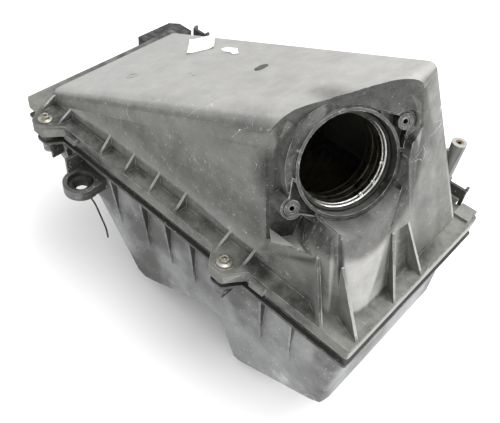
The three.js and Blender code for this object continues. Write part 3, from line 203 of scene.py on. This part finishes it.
class Finish:
    """A material with one Principled BSDF, and the calls that build what feeds it."""

    def __init__(self, name, **constants):
        self.material = bpy.data.materials.new(name)
        self.material.use_nodes = True
        self.tree = self.material.node_tree
        self.shader = self.tree.nodes["Principled BSDF"]
        for socket, value in constants.items():
            self.shader.inputs[socket.replace("_", " ")].default_value = value
        self.place = self.node("ShaderNodeTexCoord", {}, {}, "Object")
        self.facing = self.node("ShaderNodeTexCoord", {}, {}, "Normal")

    def node(self, kind, settings, values, output=0):
        """Adds a node of a kind, sets its settings and then its sockets, and returns an output."""
        node = self.tree.nodes.new(kind)
        for key, value in settings.items():
            if key == "stops":
                ramp = node.color_ramp
                while len(ramp.elements) < len(value):
                    ramp.elements.new(1.0)
                for element, (position, color) in zip(ramp.elements, value):
                    element.position = position
                    element.color = color
            else:
                setattr(node, key, value)
        for key, value in values.items():
            if isinstance(value, Wire):
                self.tree.links.new(value.socket, node.inputs[key])
            else:
                node.inputs[key].default_value = value
        return Wire(self, node.outputs[output])

    def feed(self, socket, wire):
        self.tree.links.new(wire.socket, self.shader.inputs[socket])

    def parts(self, vector):
        """The three parts of a vector, as wires."""
        split = self.tree.nodes.new("ShaderNodeSeparateXYZ")
        self.tree.links.new(vector.socket, split.inputs[0])
        return [Wire(self, output) for output in split.outputs]

    def moved(self, scale=(1, 1, 1), turn=(0, 0, 0), start=(0, 0, 0)):
        """Object coordinates, stretched and turned."""
        return self.node("ShaderNodeMapping", {},
                         {"Vector": self.place, "Location": start, "Rotation": turn, "Scale": scale})

    def noise(self, scale, detail=4.0, rough=0.55, warp=0.0, vector=None):
        return self.node("ShaderNodeTexNoise", {},
                         {"Vector": vector or self.place, "Scale": scale, "Detail": detail,
                          "Roughness": rough, "Distortion": warp})

    def mix(self, factor, a, b):
        """Colour a where the factor is 0 and colour b where it is 1."""
        return self.node("ShaderNodeMix", {"data_type": "RGBA"}, {0: factor, 6: a, 7: b}, 2)

    def bump(self, height, distance, strength=1.0, normal=None):
        values = {"Height": height, "Distance": distance, "Strength": strength}
        if normal:
            values["Normal"] = normal
        return self.node("ShaderNodeBump", {}, values)

    def rounded(self, radius):
        """The normal as if every edge had that radius."""
        return self.node("ShaderNodeBevel", {"samples": 6}, {"Radius": radius})

    def edges(self, radius):
        """About 0 on flat stretches, and up to 1 on edges and in corners."""
        soft = self.rounded(radius)
        hard = self.node("ShaderNodeNewGeometry", {}, {}, "Normal")
        dot = self.node("ShaderNodeVectorMath", {"operation": "DOT_PRODUCT"},
                        {0: soft, 1: hard}, "Value")
        return (1 - dot).step(0.02, 0.28)

    def hairlines(self, count, seed, width):
        """Thin wandering scratches: where a stretched noise passes through its middle value,
        kept only in scattered patches."""
        angle = seed * 1.9
        lines = self.noise(count, 1.5, 0.5, 0.25,
                           self.moved((1.0, 0.23, 0.6), (0.4 * seed, 0.3, angle), (seed, seed, 0)))
        near = (lines - 0.5).math("ABSOLUTE").step(0.0, width, 1.0, 0.0)
        patches = self.noise(31.0, 3.0, 0.6, 0.0, self.moved(start=(3.1 * seed, 0, seed)))
        return near * patches.step(0.60, 0.68)

    def from_axis(self, start, axis):
        """How far along an axis a place lies, and how far out from it, in metres."""
        offset = self.node("ShaderNodeVectorMath", {"operation": "SUBTRACT"},
                           {0: self.place, 1: start})
        along = self.node("ShaderNodeVectorMath", {"operation": "DOT_PRODUCT"},
                          {0: offset, 1: axis}, "Value")
        across = self.node("ShaderNodeVectorMath", {"operation": "CROSS_PRODUCT"},
                           {0: offset, 1: axis})
        out = self.node("ShaderNodeVectorMath", {"operation": "LENGTH"}, {0: across}, "Value")
        return along, out

    def faces(self, direction):
        """How squarely the surface faces a direction, from -1 to 1."""
        return self.node("ShaderNodeVectorMath", {"operation": "DOT_PRODUCT"},
                         {0: self.facing, 1: direction}, "Value")

    def specks(self, scale, size):
        """Small spots: the cells of a point pattern whose own random value is high."""
        settings = {"feature": "F1"}
        near = self.node("ShaderNodeTexVoronoi", settings,
                         {"Vector": self.place, "Scale": scale}, "Distance")
        chance = self.node("ShaderNodeTexVoronoi", settings,
                           {"Vector": self.place, "Scale": scale}, "Color")
        pick = self.parts(chance)[0]
        return near.step(size * 0.6, size, 1.0, 0.0) * pick.step(0.55, 0.75)


floor_finish = Finish("floor_paint", Base_Color=(0.9, 0.9, 0.9, 1), Roughness=0.9)
floor_finish.feed("Roughness", floor_finish.noise(4.0).step(0.3, 0.7, 0.85, 0.95))
floor.data.materials.append(floor_finish.material)


# ---- Upper cover -------------------------------------------------------------------------
# A wedge injection-moulded in black glass-filled nylon. Age and road dust have bleached its
# top and ends to pale grey, and the top, the outlet end with its skirt and the near wall are
# also painted lighter by the way they face, as painted light. The flange and the ears stay
# dark, while the corner cut away for the outlet, the recess below the outlet and the
# outlet's seat are painted charcoal as shade, and the throat near-black brown as shade.
# Handling has scratched it white and worn its edges.
def welded(node, body, finish, sharp=28):
    """A copy of a CAD node with its loose triangles welded, and its curved stretches shaded
    smooth up to the sharp angle, which then stands for that node."""
    name = node + "_moulding"
    mesh = nodes[node].data.copy()
    mesh.name = name
    work = bmesh.new()
    work.from_mesh(mesh)
    bmesh.ops.remove_doubles(work, verts=work.verts, dist=2e-6)
    bmesh.ops.dissolve_limit(work, angle_limit=math.radians(0.6), verts=work.verts,
                             edges=work.edges, delimit=set())
    work.to_mesh(mesh)
    work.free()
    mesh.materials.clear()
    mesh.materials.append(finish.material)
    mesh.shade_smooth()
    mesh.set_sharp_from_angle(angle=math.radians(sharp))
    obj = bpy.data.objects.new(name, mesh)
    scene.collection.objects.link(obj)
    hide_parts(node)
    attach(obj, body)
    return obj


BARE = (0.022, 0.022, 0.020, 1)
OLIVE = (0.068, 0.070, 0.056, 1)
BLEACHED_AND_LIT = (0.315, 0.312, 0.302, 1)
SCUFF = (0.72, 0.72, 0.70, 1)
RECESS_SHADE = (0.016, 0.016, 0.015, 1)
BORE_SHADE_BROWN = (0.020, 0.018, 0.013, 1)


PORT_AXIS = heading(-28.4, 23.9)
PORT_CENTRE = at(131, -33.5, 97.8)
THROAT_RADIUS, SEAT_RADIUS, RECESS_RADIUS = 0.0385, 0.0545, 0.065
FACET_NORMAL = heading(-36, 13)

cover_finish = Finish("aged_black_nylon", Specular_IOR_Level=0.4)
f = cover_finish
z = f.parts(f.place)[2]
nx, ny, nz = f.parts(f.facing)
above = (z - flange.z) * 1000.0
patchy = f.noise(26.0, 6.0, 0.62)
cloudy = f.noise(7.0, 3.0, 0.5)
grain = f.noise(900.0, 2.0, 0.5)
along, out = f.from_axis(PORT_CENTRE, PORT_AXIS)
on_top = nz.step(0.55, 0.85)
outward = nx.step(0.5, 0.9)
body_zone = above.step(1.5, 6.0)
# The facet cut away for the outlet, the recess below the outlet and the outlet's seat are painted
# charcoal as shade, and most dust is taken off them.
facet = f.faces(FACET_NORMAL).step(0.93, 0.985)
under_port = (z - PORT_CENTRE.z).step(0.0, 0.02, 1.0, 0.0)
recess = (out - RECESS_RADIUS).step(-0.005, 0.005, 1.0, 0.0) * along.step(-0.06, -0.045)
recess = recess * under_port
seat = (out - SEAT_RADIUS).step(-0.0025, 0.0025, 1.0, 0.0) * along.step(-0.035, -0.025)
shaded = (facet + recess + seat).clamp() * body_zone
ridge = (ny * -1.0).step(0.15, 0.4) * nz.step(0.15, 0.4) * body_zone
mottle = f.noise(75.0, 6.0, 0.72)
# Inside the outlet's throat, past 11 to 16 mm deep along its axis, the cover is painted near-black
# brown as shade. The mask runs on along the axis through the whole cover.
bore_shade = (out - THROAT_RADIUS).step(-0.001, 0.0012, 1.0, 0.0)
bore_shade = bore_shade * along.step(-0.016, -0.011, 1.0, 0.0)
# Pale grey by the way each face faces: partly dust, partly painted light. The top is the lightest,
# and the outlet end and the near wall are painted lighter towards the top.
top_dust_and_light = on_top * body_zone * patchy.step(0.3, 0.7, 0.80, 1.0)
top_dust_and_light = top_dust_and_light * cloudy.step(0.3, 0.7, 0.9, 1.0)
end_dust_and_light = outward * body_zone * patchy.step(0.3, 0.7, 0.28, 0.55)
end_dust_and_light = end_dust_and_light * above.step(0.0, 90.0, 0.55, 1.0)
side_dust_and_light = (ny * -1.0).step(0.6, 0.95) * body_zone * above.step(0.0, 60.0, 0.20, 0.36)
# The outlet end's skirt is painted lighter, as painted light.
skirt = above.step(-3.5, -2.5, 1.0, 0.0) * outward
low_dust_and_skirt_light = (1 - body_zone) * patchy.step(0.35, 0.65, 0.05, 0.32) + skirt * 0.5
dust_and_painted_shading = (top_dust_and_light + end_dust_and_light + side_dust_and_light + low_dust_and_skirt_light).clamp() * (1 - shaded * 0.72)
dust_and_painted_shading = (dust_and_painted_shading + (grain - 0.5) * 0.18 + (mottle - 0.5) * 0.50).clamp()
base = f.mix(patchy.step(0.35, 0.65), BARE, OLIVE)
base = f.mix(shaded, base, RECESS_SHADE)
color = f.mix(dust_and_painted_shading, base, BLEACHED_AND_LIT)
lines = (f.hairlines(34.0, 1.0, 0.0016) + f.hairlines(47.0, 2.3, 0.0015)
         + f.hairlines(63.0, 3.7, 0.0018)).clamp()
flecks = f.specks(420.0, 0.20) * mottle.step(0.48, 0.6)
wear = f.edges(0.0012) * f.noise(120.0, 4.0, 0.7).step(0.38, 0.6)
scrapes = (f.hairlines(70.0, 5.1, 0.0026) + f.hairlines(96.0, 7.7, 0.0026)).clamp()
scrapes = scrapes * (ridge * 0.9 + facet * 0.35 + 0.45)
scrapes = scrapes + ridge * f.noise(240.0, 5.0, 0.75).step(0.58, 0.70) * 0.30
marks = (lines * 0.5 + flecks * 0.4 + wear * 0.55 + scrapes).clamp()
color = f.mix(marks, color, SCUFF)
f.feed("Base Color", f.mix(bore_shade, color, BORE_SHADE_BROWN))
f.feed("Roughness", patchy.step(0.3, 0.7, 0.42, 0.6) + lines * 0.2)
height = grain * 0.6 + f.noise(300.0, 3.0, 0.6) * (0.6 + shaded * 0.9) - lines * 0.8
f.feed("Normal", f.bump(height, 0.00025, 0.35, f.rounded(0.0008)))
cover = welded("upper_cover", "cover", cover_finish)

# ---- Lower housing -----------------------------------------------------------------------
# A deep bin in the same nylon, moulded in one piece with its ledge, ribs, bosses, mounting
# ring, hinge loops and foot pegs. Its walls carry pale dust with rubbed white patches. The
# ledge and gap under the cover, the ribs' sides and the level faces are painted dark as shade.
HOUSING_DUST = (0.33, 0.335, 0.34, 1)
NEAR_WALL_Y = -0.093
housing_finish = Finish("dusty_black_nylon", Specular_IOR_Level=0.4)
f = housing_finish
_, y, z = f.parts(f.place)
nx, _, nz = f.parts(f.facing)
below = (flange.z - z) * 1000.0
patchy = f.noise(18.0, 6.0, 0.62)
grain = f.noise(900.0, 2.0, 0.5)
walls = below.step(22.5, 27.0)
before_wall = (y - (flange.y + NEAR_WALL_Y)).step(-0.0005, 0.0005, 1.0, 0.0)
# The ribs' side faces keep only a tenth of the dust: painted shade.
rib_sides = nx.math("ABSOLUTE").step(0.7, 0.9) * before_wall
shade = f.noise(11.0, 4.0, 0.6).step(0.40, 0.58, 0.25, 1.0)
dust_and_painted_shading = walls * patchy.step(0.3, 0.7, 0.45, 0.95) * shade * (1 - rib_sides * 0.9)
# The band within about 25 mm under the flange, the ledge and gap under the cover's skirt, keeps
# little dust: painted shade.
dust_and_painted_shading = dust_and_painted_shading + (1 - walls) * 0.10
# Level faces lose up to 55% of the dust: painted shade.
dust_and_painted_shading = dust_and_painted_shading * nz.math("ABSOLUTE").step(0.75, 1.0, 1.0, 0.45)
color = f.mix((dust_and_painted_shading + (grain - 0.5) * 0.08).clamp(), BARE, HOUSING_DUST)
rubs = f.noise(9.0, 7.0, 0.72).step(0.62, 0.72)
lines = (f.hairlines(18.0, 4.1, 0.003) + f.hairlines(34.0, 5.3, 0.0035)).clamp()
wear = f.edges(0.001) * f.noise(110.0, 4.0, 0.7).step(0.42, 0.62)
mottle = f.noise(70.0, 6.0, 0.72)
broken = rib_sides * mottle.step(0.60, 0.66) * 0.7
marks = (rubs * 0.35 + lines * 0.7 + f.specks(230.0, 0.2) * 0.4 + wear * 0.55 + broken).clamp()
color = f.mix(mottle.step(0.25, 0.75, 0.0, 0.30), color, OLIVE)
f.feed("Base Color", f.mix(marks, color, SCUFF))
f.feed("Roughness", patchy.step(0.3, 0.7, 0.5, 0.66))
height = grain * 0.6 + f.noise(260.0, 3.0, 0.6) * 0.6
f.feed("Normal", f.bump(height, 0.00025, 0.35, f.rounded(0.0008)))
housing = welded("lower_housing", "housing", housing_finish)

# ---- Turned metal: the outlet's liner and the cover screws --------------------------------
# The liner is a spun steel sleeve pressed into the outlet, with a bright rolled lip and
# beads down its wall. The screws are cold-headed zinc ones with a flange under the hexagon.
def worn_metal(name, rough, color=None, dark=None):
    """A metal with a fine turned grain. Tarnish shows in patches from color to dark, and
    without them the metal is coloured by its caller."""
    f = Finish(name, Metallic=1.0)
    tarnish = f.noise(160.0, 5.0, 0.6)
    if color:
        f.feed("Base Color", f.mix(tarnish.step(0.35, 0.7), color, dark))
    f.feed("Roughness", tarnish.step(0.3, 0.7, rough, rough + 0.25))
    f.feed("Normal", f.bump(f.noise(700.0, 2.0), 0.0001, 0.3, f.rounded(0.0004)))
    return f


def eased(profile, radius, steps=4):
    """A closed outline of (radius, height) corners with each corner on the solid rounded: the
    corner becomes a curve from a point before it to a point after it, weighted as a parabola."""
    corners = np.asarray(profile, float)
    before, after = np.roll(corners, 1, 0), np.roll(corners, -1, 0)
    t = np.linspace(0, 1, steps)[None, :, None]
    cut_in = np.minimum(radius / np.linalg.norm(before - corners, axis=1), 0.45)
    cut_out = np.minimum(radius / np.linalg.norm(after - corners, axis=1), 0.45)
    start = (corners + (before - corners) * cut_in[:, None])[:, None]
    end = (corners + (after - corners) * cut_out[:, None])[:, None]
    curve = (1 - t) ** 2 * start + 2 * t * (1 - t) * corners[:, None] + t ** 2 * end
    return curve.reshape(-1, 2)


def turned(name, profile, place, finish, body, axis=(0, 0, 1), sides=96,
           replaced=None, shape=None):
    """A closed ring turned about an axis. Each point lies at its radius times the cosine and
    sine of its angle, across the axis, and at its height along it, in millimetres. shape may
    scale the radius by row and angle."""
    profile = np.asarray(profile, float)
    angle = np.linspace(0, 2 * math.pi, sides, endpoint=False)[None, :]
    radius = profile[:, :1] * np.ones_like(angle)
    if shape is not None:
        radius = radius * shape(profile, angle)
    axis = np.asarray(axis, float)
    across = np.array((-axis[1], axis[0], 0)) if abs(axis[2]) < 0.99 else np.array((1.0, 0, 0))
    across = across / np.linalg.norm(across)
    up = np.cross(axis, across)
    points = (radius * np.cos(angle))[..., None] * across
    points = points + (radius * np.sin(angle))[..., None] * up
    points = points + (profile[:, 1:2] * np.ones_like(angle))[..., None] * axis
    rows = len(profile)
    faces = sheet_faces(rows + 1, sides, around=True) % (rows * sides)
    obj = new_mesh(name, points / 1000 + np.asarray(place), faces)
    face_outwards(obj.data, weld=1e-7)
    obj.data.materials.append(finish.material)
    obj.data.set_sharp_from_angle(angle=math.radians(40))
    if replaced:
        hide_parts(replaced)
    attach(obj, body)
    return obj


zinc = worn_metal("dull_zinc", 0.34, (0.42, 0.41, 0.36, 1), (0.16, 0.15, 0.11, 1))
BRIGHT, DULLED, DEEP_SHADE = (0.80, 0.80, 0.78, 1), (0.50, 0.49, 0.45, 1), (0.21, 0.195, 0.155, 1)
liner_steel = worn_metal("liner_steel", 0.24)
deep, _ = liner_steel.from_axis(PORT_CENTRE, PORT_AXIS)
polished = liner_steel.mix(liner_steel.noise(160.0, 5.0).step(0.35, 0.7), BRIGHT, DULLED)
# Deeper than 15 to 17.5 mm into the outlet the liner is painted dark brown as shade; nearer the lip
# it stays bright steel.
liner_steel.feed("Base Color", liner_steel.mix(deep.step(-0.0175, -0.0150), DEEP_SHADE, polished))
LINER = [(40.2, -11.7), (40.2, -10.4), (37.4, -10.4), (36.6, -11.4), (36.3, -13.4),
         (35.4, -14.4), (36.2, -15.6), (36.3, -20.5), (35.7, -21.6), (36.3, -22.8),
         (36.3, -28.5), (35.5, -29.8), (36.3, -31.2), (36.3, -38.0), (38.2, -38.0),
         (38.2, -11.7)]
turned("outlet_liner", eased(LINER, 0.5), PORT_CENTRE, liner_steel, "cover",
       axis=PORT_AXIS, sides=144, replaced="port_liner")


CLIP_ANGLES = (-62.0, -40.0, -14.0)
CLIP_HALF_ANGLE = 2.6
CLIP_INNER, CLIP_OUTER = 33.8, 37.0
CLIP_TOP, CLIP_BOTTOM = -11.9, -13.6
CLIP_RINGS, CLIP_SIDES = 15, 20


def liner_clip(name, middle):
    """A small rounded clip on the liner's lip. Its section is a superellipse in radius and
    height, carried along a short arc and narrowed to nothing at each end of it."""
    u = np.linspace(-1, 1, CLIP_RINGS)[:, None]
    v = np.linspace(0, 2 * math.pi, CLIP_SIDES, endpoint=False)[None, :]
    taper = np.maximum(1 - np.abs(u) ** 6, 0.02) ** 0.5
    bulge_out = np.sign(np.cos(v)) * np.abs(np.cos(v)) ** 0.5 * taper
    bulge_up = np.sign(np.sin(v)) * np.abs(np.sin(v)) ** 0.5 * taper
    radius = (CLIP_INNER + CLIP_OUTER) / 2 + (CLIP_OUTER - CLIP_INNER) / 2 * bulge_out
    height = (CLIP_TOP + CLIP_BOTTOM) / 2 + (CLIP_TOP - CLIP_BOTTOM) / 2 * bulge_up
    angle = np.radians(middle + CLIP_HALF_ANGLE * u)
    side = np.asarray(Vector((-PORT_AXIS.y, PORT_AXIS.x, 0)).normalized())
    up = np.cross(np.asarray(PORT_AXIS), side)
    points = ((radius * np.cos(angle))[..., None] * side + (radius * np.sin(angle))[..., None] * up
              + height[..., None] * np.asarray(PORT_AXIS)) / 1000 + np.asarray(PORT_CENTRE)
    first_ring = list(range(CLIP_SIDES))
    last_ring = [(CLIP_RINGS - 1) * CLIP_SIDES + i for i in first_ring]
    faces = sheet_faces(CLIP_RINGS, CLIP_SIDES, around=True).tolist() + [first_ring, last_ring]
    obj = new_mesh(name, points, faces)
    face_outwards(obj.data)
    obj.data.materials.append(liner_steel.material)
    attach(obj, "cover")


for number, middle in enumerate(CLIP_ANGLES, 1):
    liner_clip(f"liner_clip_{number}", middle)


HEAD_RADIUS, HEAD_FOOT = 4.7, 2.5


def hexagon(profile, angle):
    """1 on a circle's rows. On the head's rows, the distance to a hexagon's flats over the
    corner radius, which is the flat's share over the cosine of the angle from its middle."""
    apart = np.mod(angle + math.pi / 6, math.pi / 3) - math.pi / 6
    flats = math.cos(math.pi / 6) / np.cos(apart)
    head = (profile[:, :1] < HEAD_RADIUS) & (profile[:, 1:2] > HEAD_FOOT)
    return np.where(head, flats, 1.0)


SCREW = [(0.01, 3.3), (1.95, 3.3), (2.0, 5.6), (2.4, 5.9), (3.9, 5.9), (4.6, 5.3), (4.6, 2.75),
         (5.4, 2.4), (6.9, 2.0), (7.2, 1.6), (7.2, 1.05), (7.0, 0.9), (3.0, 0.9), (3.0, -12.0),
         (2.5, -12.3), (2.5, -21.2), (1.8, -22.0), (0.01, -22.0)]
EAR_X = (-163.3, 81.0)
EAR_Y = -106.5
for number, ear in enumerate(EAR_X, 1):
    turned(f"flange_screw_{number}", eased(SCREW, 0.22, 3), at(ear, EAR_Y, 0), zinc,
           f"screw_{number}", replaced=f"cover_screw_{number}", shape=hexagon)

# ---- Rubber: the mounting grommet, the feet and the port's seal ---------------------------
# Black moulded rubber gone dull. The grommet is pulled into its ring by the tail, the feet
# are cups pressed on to the pegs, and the duct is a separate black moulding.
def aged_rubber(name, color, dusted):
    """Moulded rubber with a dull bloom in patches."""
    f = Finish(name, Specular_IOR_Level=0.35)
    bloom = f.noise(90.0, 5.0, 0.65)
    f.feed("Base Color", f.mix(bloom.step(0.4, 0.75), color, dusted))
    f.feed("Roughness", bloom.step(0.3, 0.7, 0.6, 0.85))
    f.feed("Normal", f.bump(f.noise(600.0, 3.0), 0.0002, 0.4, f.rounded(0.0005)))
    return f


rubber = aged_rubber("aged_rubber", (0.012, 0.012, 0.012, 1), (0.06, 0.06, 0.048, 1))
duct = aged_rubber("duct_nylon", (0.018, 0.018, 0.019, 1), (0.10, 0.10, 0.095, 1))
dark_steel = worn_metal("dark_steel", 0.42, (0.20, 0.20, 0.19, 1), (0.07, 0.07, 0.062, 1))
brass = worn_metal("tarnished_brass", 0.4, (0.34, 0.27, 0.14, 1), (0.11, 0.09, 0.055, 1))
LOBE_X = (-43.0, 96.0)
FOOT_Y = 60
FOOT = [(0.01, -172), (8.6, -172), (9.2, -171.4), (10, -170.6), (9.6, -168.6), (9.9, -167.4),
        (9.3, -165.2), (9.5, -163.9), (8.5, -161), (5.3, -161), (5.3, -166.3), (0.01, -166.3)]
number = 0
for lobe in LOBE_X:
    for side in (-1, 1):
        number += 1
        turned(f"foot_cup_{number}", eased(FOOT, 0.5, 3), at(lobe, side * FOOT_Y, 0), rubber,
               "housing", replaced=f"rubber_foot_{number}")

# ---- Finish of the pieces kept from the model --------------------------------------------
# Brass inserts in the bosses, steel ones at the outlet, steel sleeves in the ears, the
# grommet with its tail, the seals, the drain valve and the duct keep the model's own meshes.
def coated(name, finish):
    """Gives a piece kept from the model its finish."""
    nodes[name].data.materials.clear()
    nodes[name].data.materials.append(finish.material)


for name, finish in {
        "screw_sleeve_1": zinc, "screw_sleeve_2": zinc, "boss_insert_1": brass,
        "boss_insert_2": brass, "side_boss_insert": brass, "port_insert_upper": dark_steel,
        "port_insert_lower": dark_steel, "port_seal": rubber, "mount_grommet": rubber,
        "inlet_duct": duct, "inlet_seal": rubber, "drain_valve": rubber}.items():
    coated(name, finish)

# ---- Filter element ----------------------------------------------------------------------
# Pleated resin paper in a moulded foam frame. Seen through the outlet, the paper is painted dark
# brown as the shade inside the housing.
paper = Finish("filter_paper", Roughness=0.9)
paper_tone = paper.noise(60.0).step(0.3, 0.7)
# The paper's browns are darkened as painted shade.
paper.feed("Base Color", paper.mix(paper_tone, (0.16, 0.130, 0.082, 1), (0.07, 0.056, 0.035, 1)))
foam = Finish("seal_foam", Roughness=0.85)
foam_tone = foam.noise(200.0).step(0.3, 0.7)
foam.feed("Base Color", foam.mix(foam_tone, (0.02, 0.02, 0.024, 1), (0.05, 0.05, 0.055, 1)))
coated("filter_media", paper)
coated("filter_seal_frame", foam)

# ---- Labels and marks on the top ---------------------------------------------------------
# A blank paper label whose corners have begun to lift, the torn remains of another, and the
# moulding's own marks: a raised ring, ejector dots and an oval dimple, a low dished disc
# painted near-black as the dimple's shadow.
TOP_SLOPE = 0.46
TOP_LOW_END, TOP_LOW_HEIGHT = -191.0, 8.7
TOP_NORMAL = Vector((-TOP_SLOPE, 0, 1)).normalized()


def on_slope(x, y, lift=0.0):
    """A place on the sloping top, or a height above it, from millimetres on the flange."""
    return at(x, y, TOP_LOW_HEIGHT + TOP_SLOPE * (x - TOP_LOW_END)) + TOP_NORMAL * lift / 1000


label = Finish("label_film", Roughness=0.6)
stain = label.noise(80.0, 5.0, 0.6).step(0.5, 0.8)
label.feed("Base Color", label.mix(stain, (0.88, 0.88, 0.87, 1), (0.55, 0.54, 0.49, 1)))
label.feed("Normal", label.bump(label.noise(140.0, 3.0), 0.0003, 0.3))
coated("torn_label", label)

LABEL_HALF_LONG, LABEL_HALF_WIDE, LABEL_THICK, LABEL_GAP = 26.0, 14.0, 0.3, 0.3
LABEL_TURN = math.radians(-45)
u, v = np.meshgrid(np.linspace(-1, 1, 60), np.linspace(-1, 1, 36), indexing="ij")
curl = 1.6 * np.abs(u) ** 7 * np.abs(v) ** 5 + 0.10 * np.sin(5 * u + 2 * v) ** 2
e = u * LABEL_HALF_LONG
g = v * LABEL_HALF_WIDE
east = e * math.cos(LABEL_TURN) - g * math.sin(LABEL_TURN)
north = e * math.sin(LABEL_TURN) + g * math.cos(LABEL_TURN)
slope_run = np.array((1, 0, TOP_SLOPE)) / math.hypot(1, TOP_SLOPE)
flat = np.asarray(on_slope(-110, 53)) * 1000 + east[..., None] * slope_run
flat = flat + north[..., None] * np.array((0, 1, 0))
sheet = [flat + (curl + lift)[..., None] * np.asarray(TOP_NORMAL)
         for lift in (LABEL_GAP, LABEL_GAP + LABEL_THICK)]
rows, columns = u.shape
grid = sheet_faces(rows, columns)
count = rows * columns
rim = np.concatenate([np.arange(columns), columns * np.arange(1, rows) + columns - 1,
                      count - 2 - np.arange(columns - 1), columns * np.arange(rows - 2, 0, -1)])
ahead = np.roll(rim, -1)
walls = np.stack([rim, ahead, ahead + count, rim + count], -1)
blank = new_mesh("label_sheet", np.stack(sheet) / 1000,
                 np.concatenate([grid, grid[:, ::-1] + count, walls]))
face_outwards(blank.data)
blank.data.materials.append(label.material)
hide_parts("blank_label")
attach(blank, "cover")


def oval(profile, angle):
    """Longer along the top's slope than across it: the radius grows with the cosine squared."""
    return 1 + 0.55 * np.cos(angle) ** 2


RING_MARK = [(4.4, -0.4), (5.6, -0.4), (5.6, 0.35), (4.4, 0.35)]
DOT = [(0.01, -0.4), (1.7, -0.4), (1.7, 0.3), (0.01, 0.42)]
DIMPLE = [(0.01, -0.4), (4.6, -0.4), (4.6, 0.3), (3.6, 0.34), (0.01, 0.06)]
# The oval dimple is painted near-black as shadow.
dimple_shadow_finish = aged_rubber("dimple_shadow", (0.03, 0.03, 0.028, 1), (0.10, 0.10, 0.095, 1))
for name, profile, place, finish, shape in (
        ("ring_mark", RING_MARK, (-118, -33), cover_finish, None),
        ("ejector_dot_1", DOT, (-56, -16), cover_finish, None),
        ("ejector_dot_2", DOT, (-48, -19), cover_finish, None),
        ("oval_dimple", DIMPLE, (7, 7), dimple_shadow_finish, oval)):
    turned(name, eased(profile, 0.12, 3), on_slope(*place), finish, "cover",
           axis=TOP_NORMAL, sides=48, shape=shape)
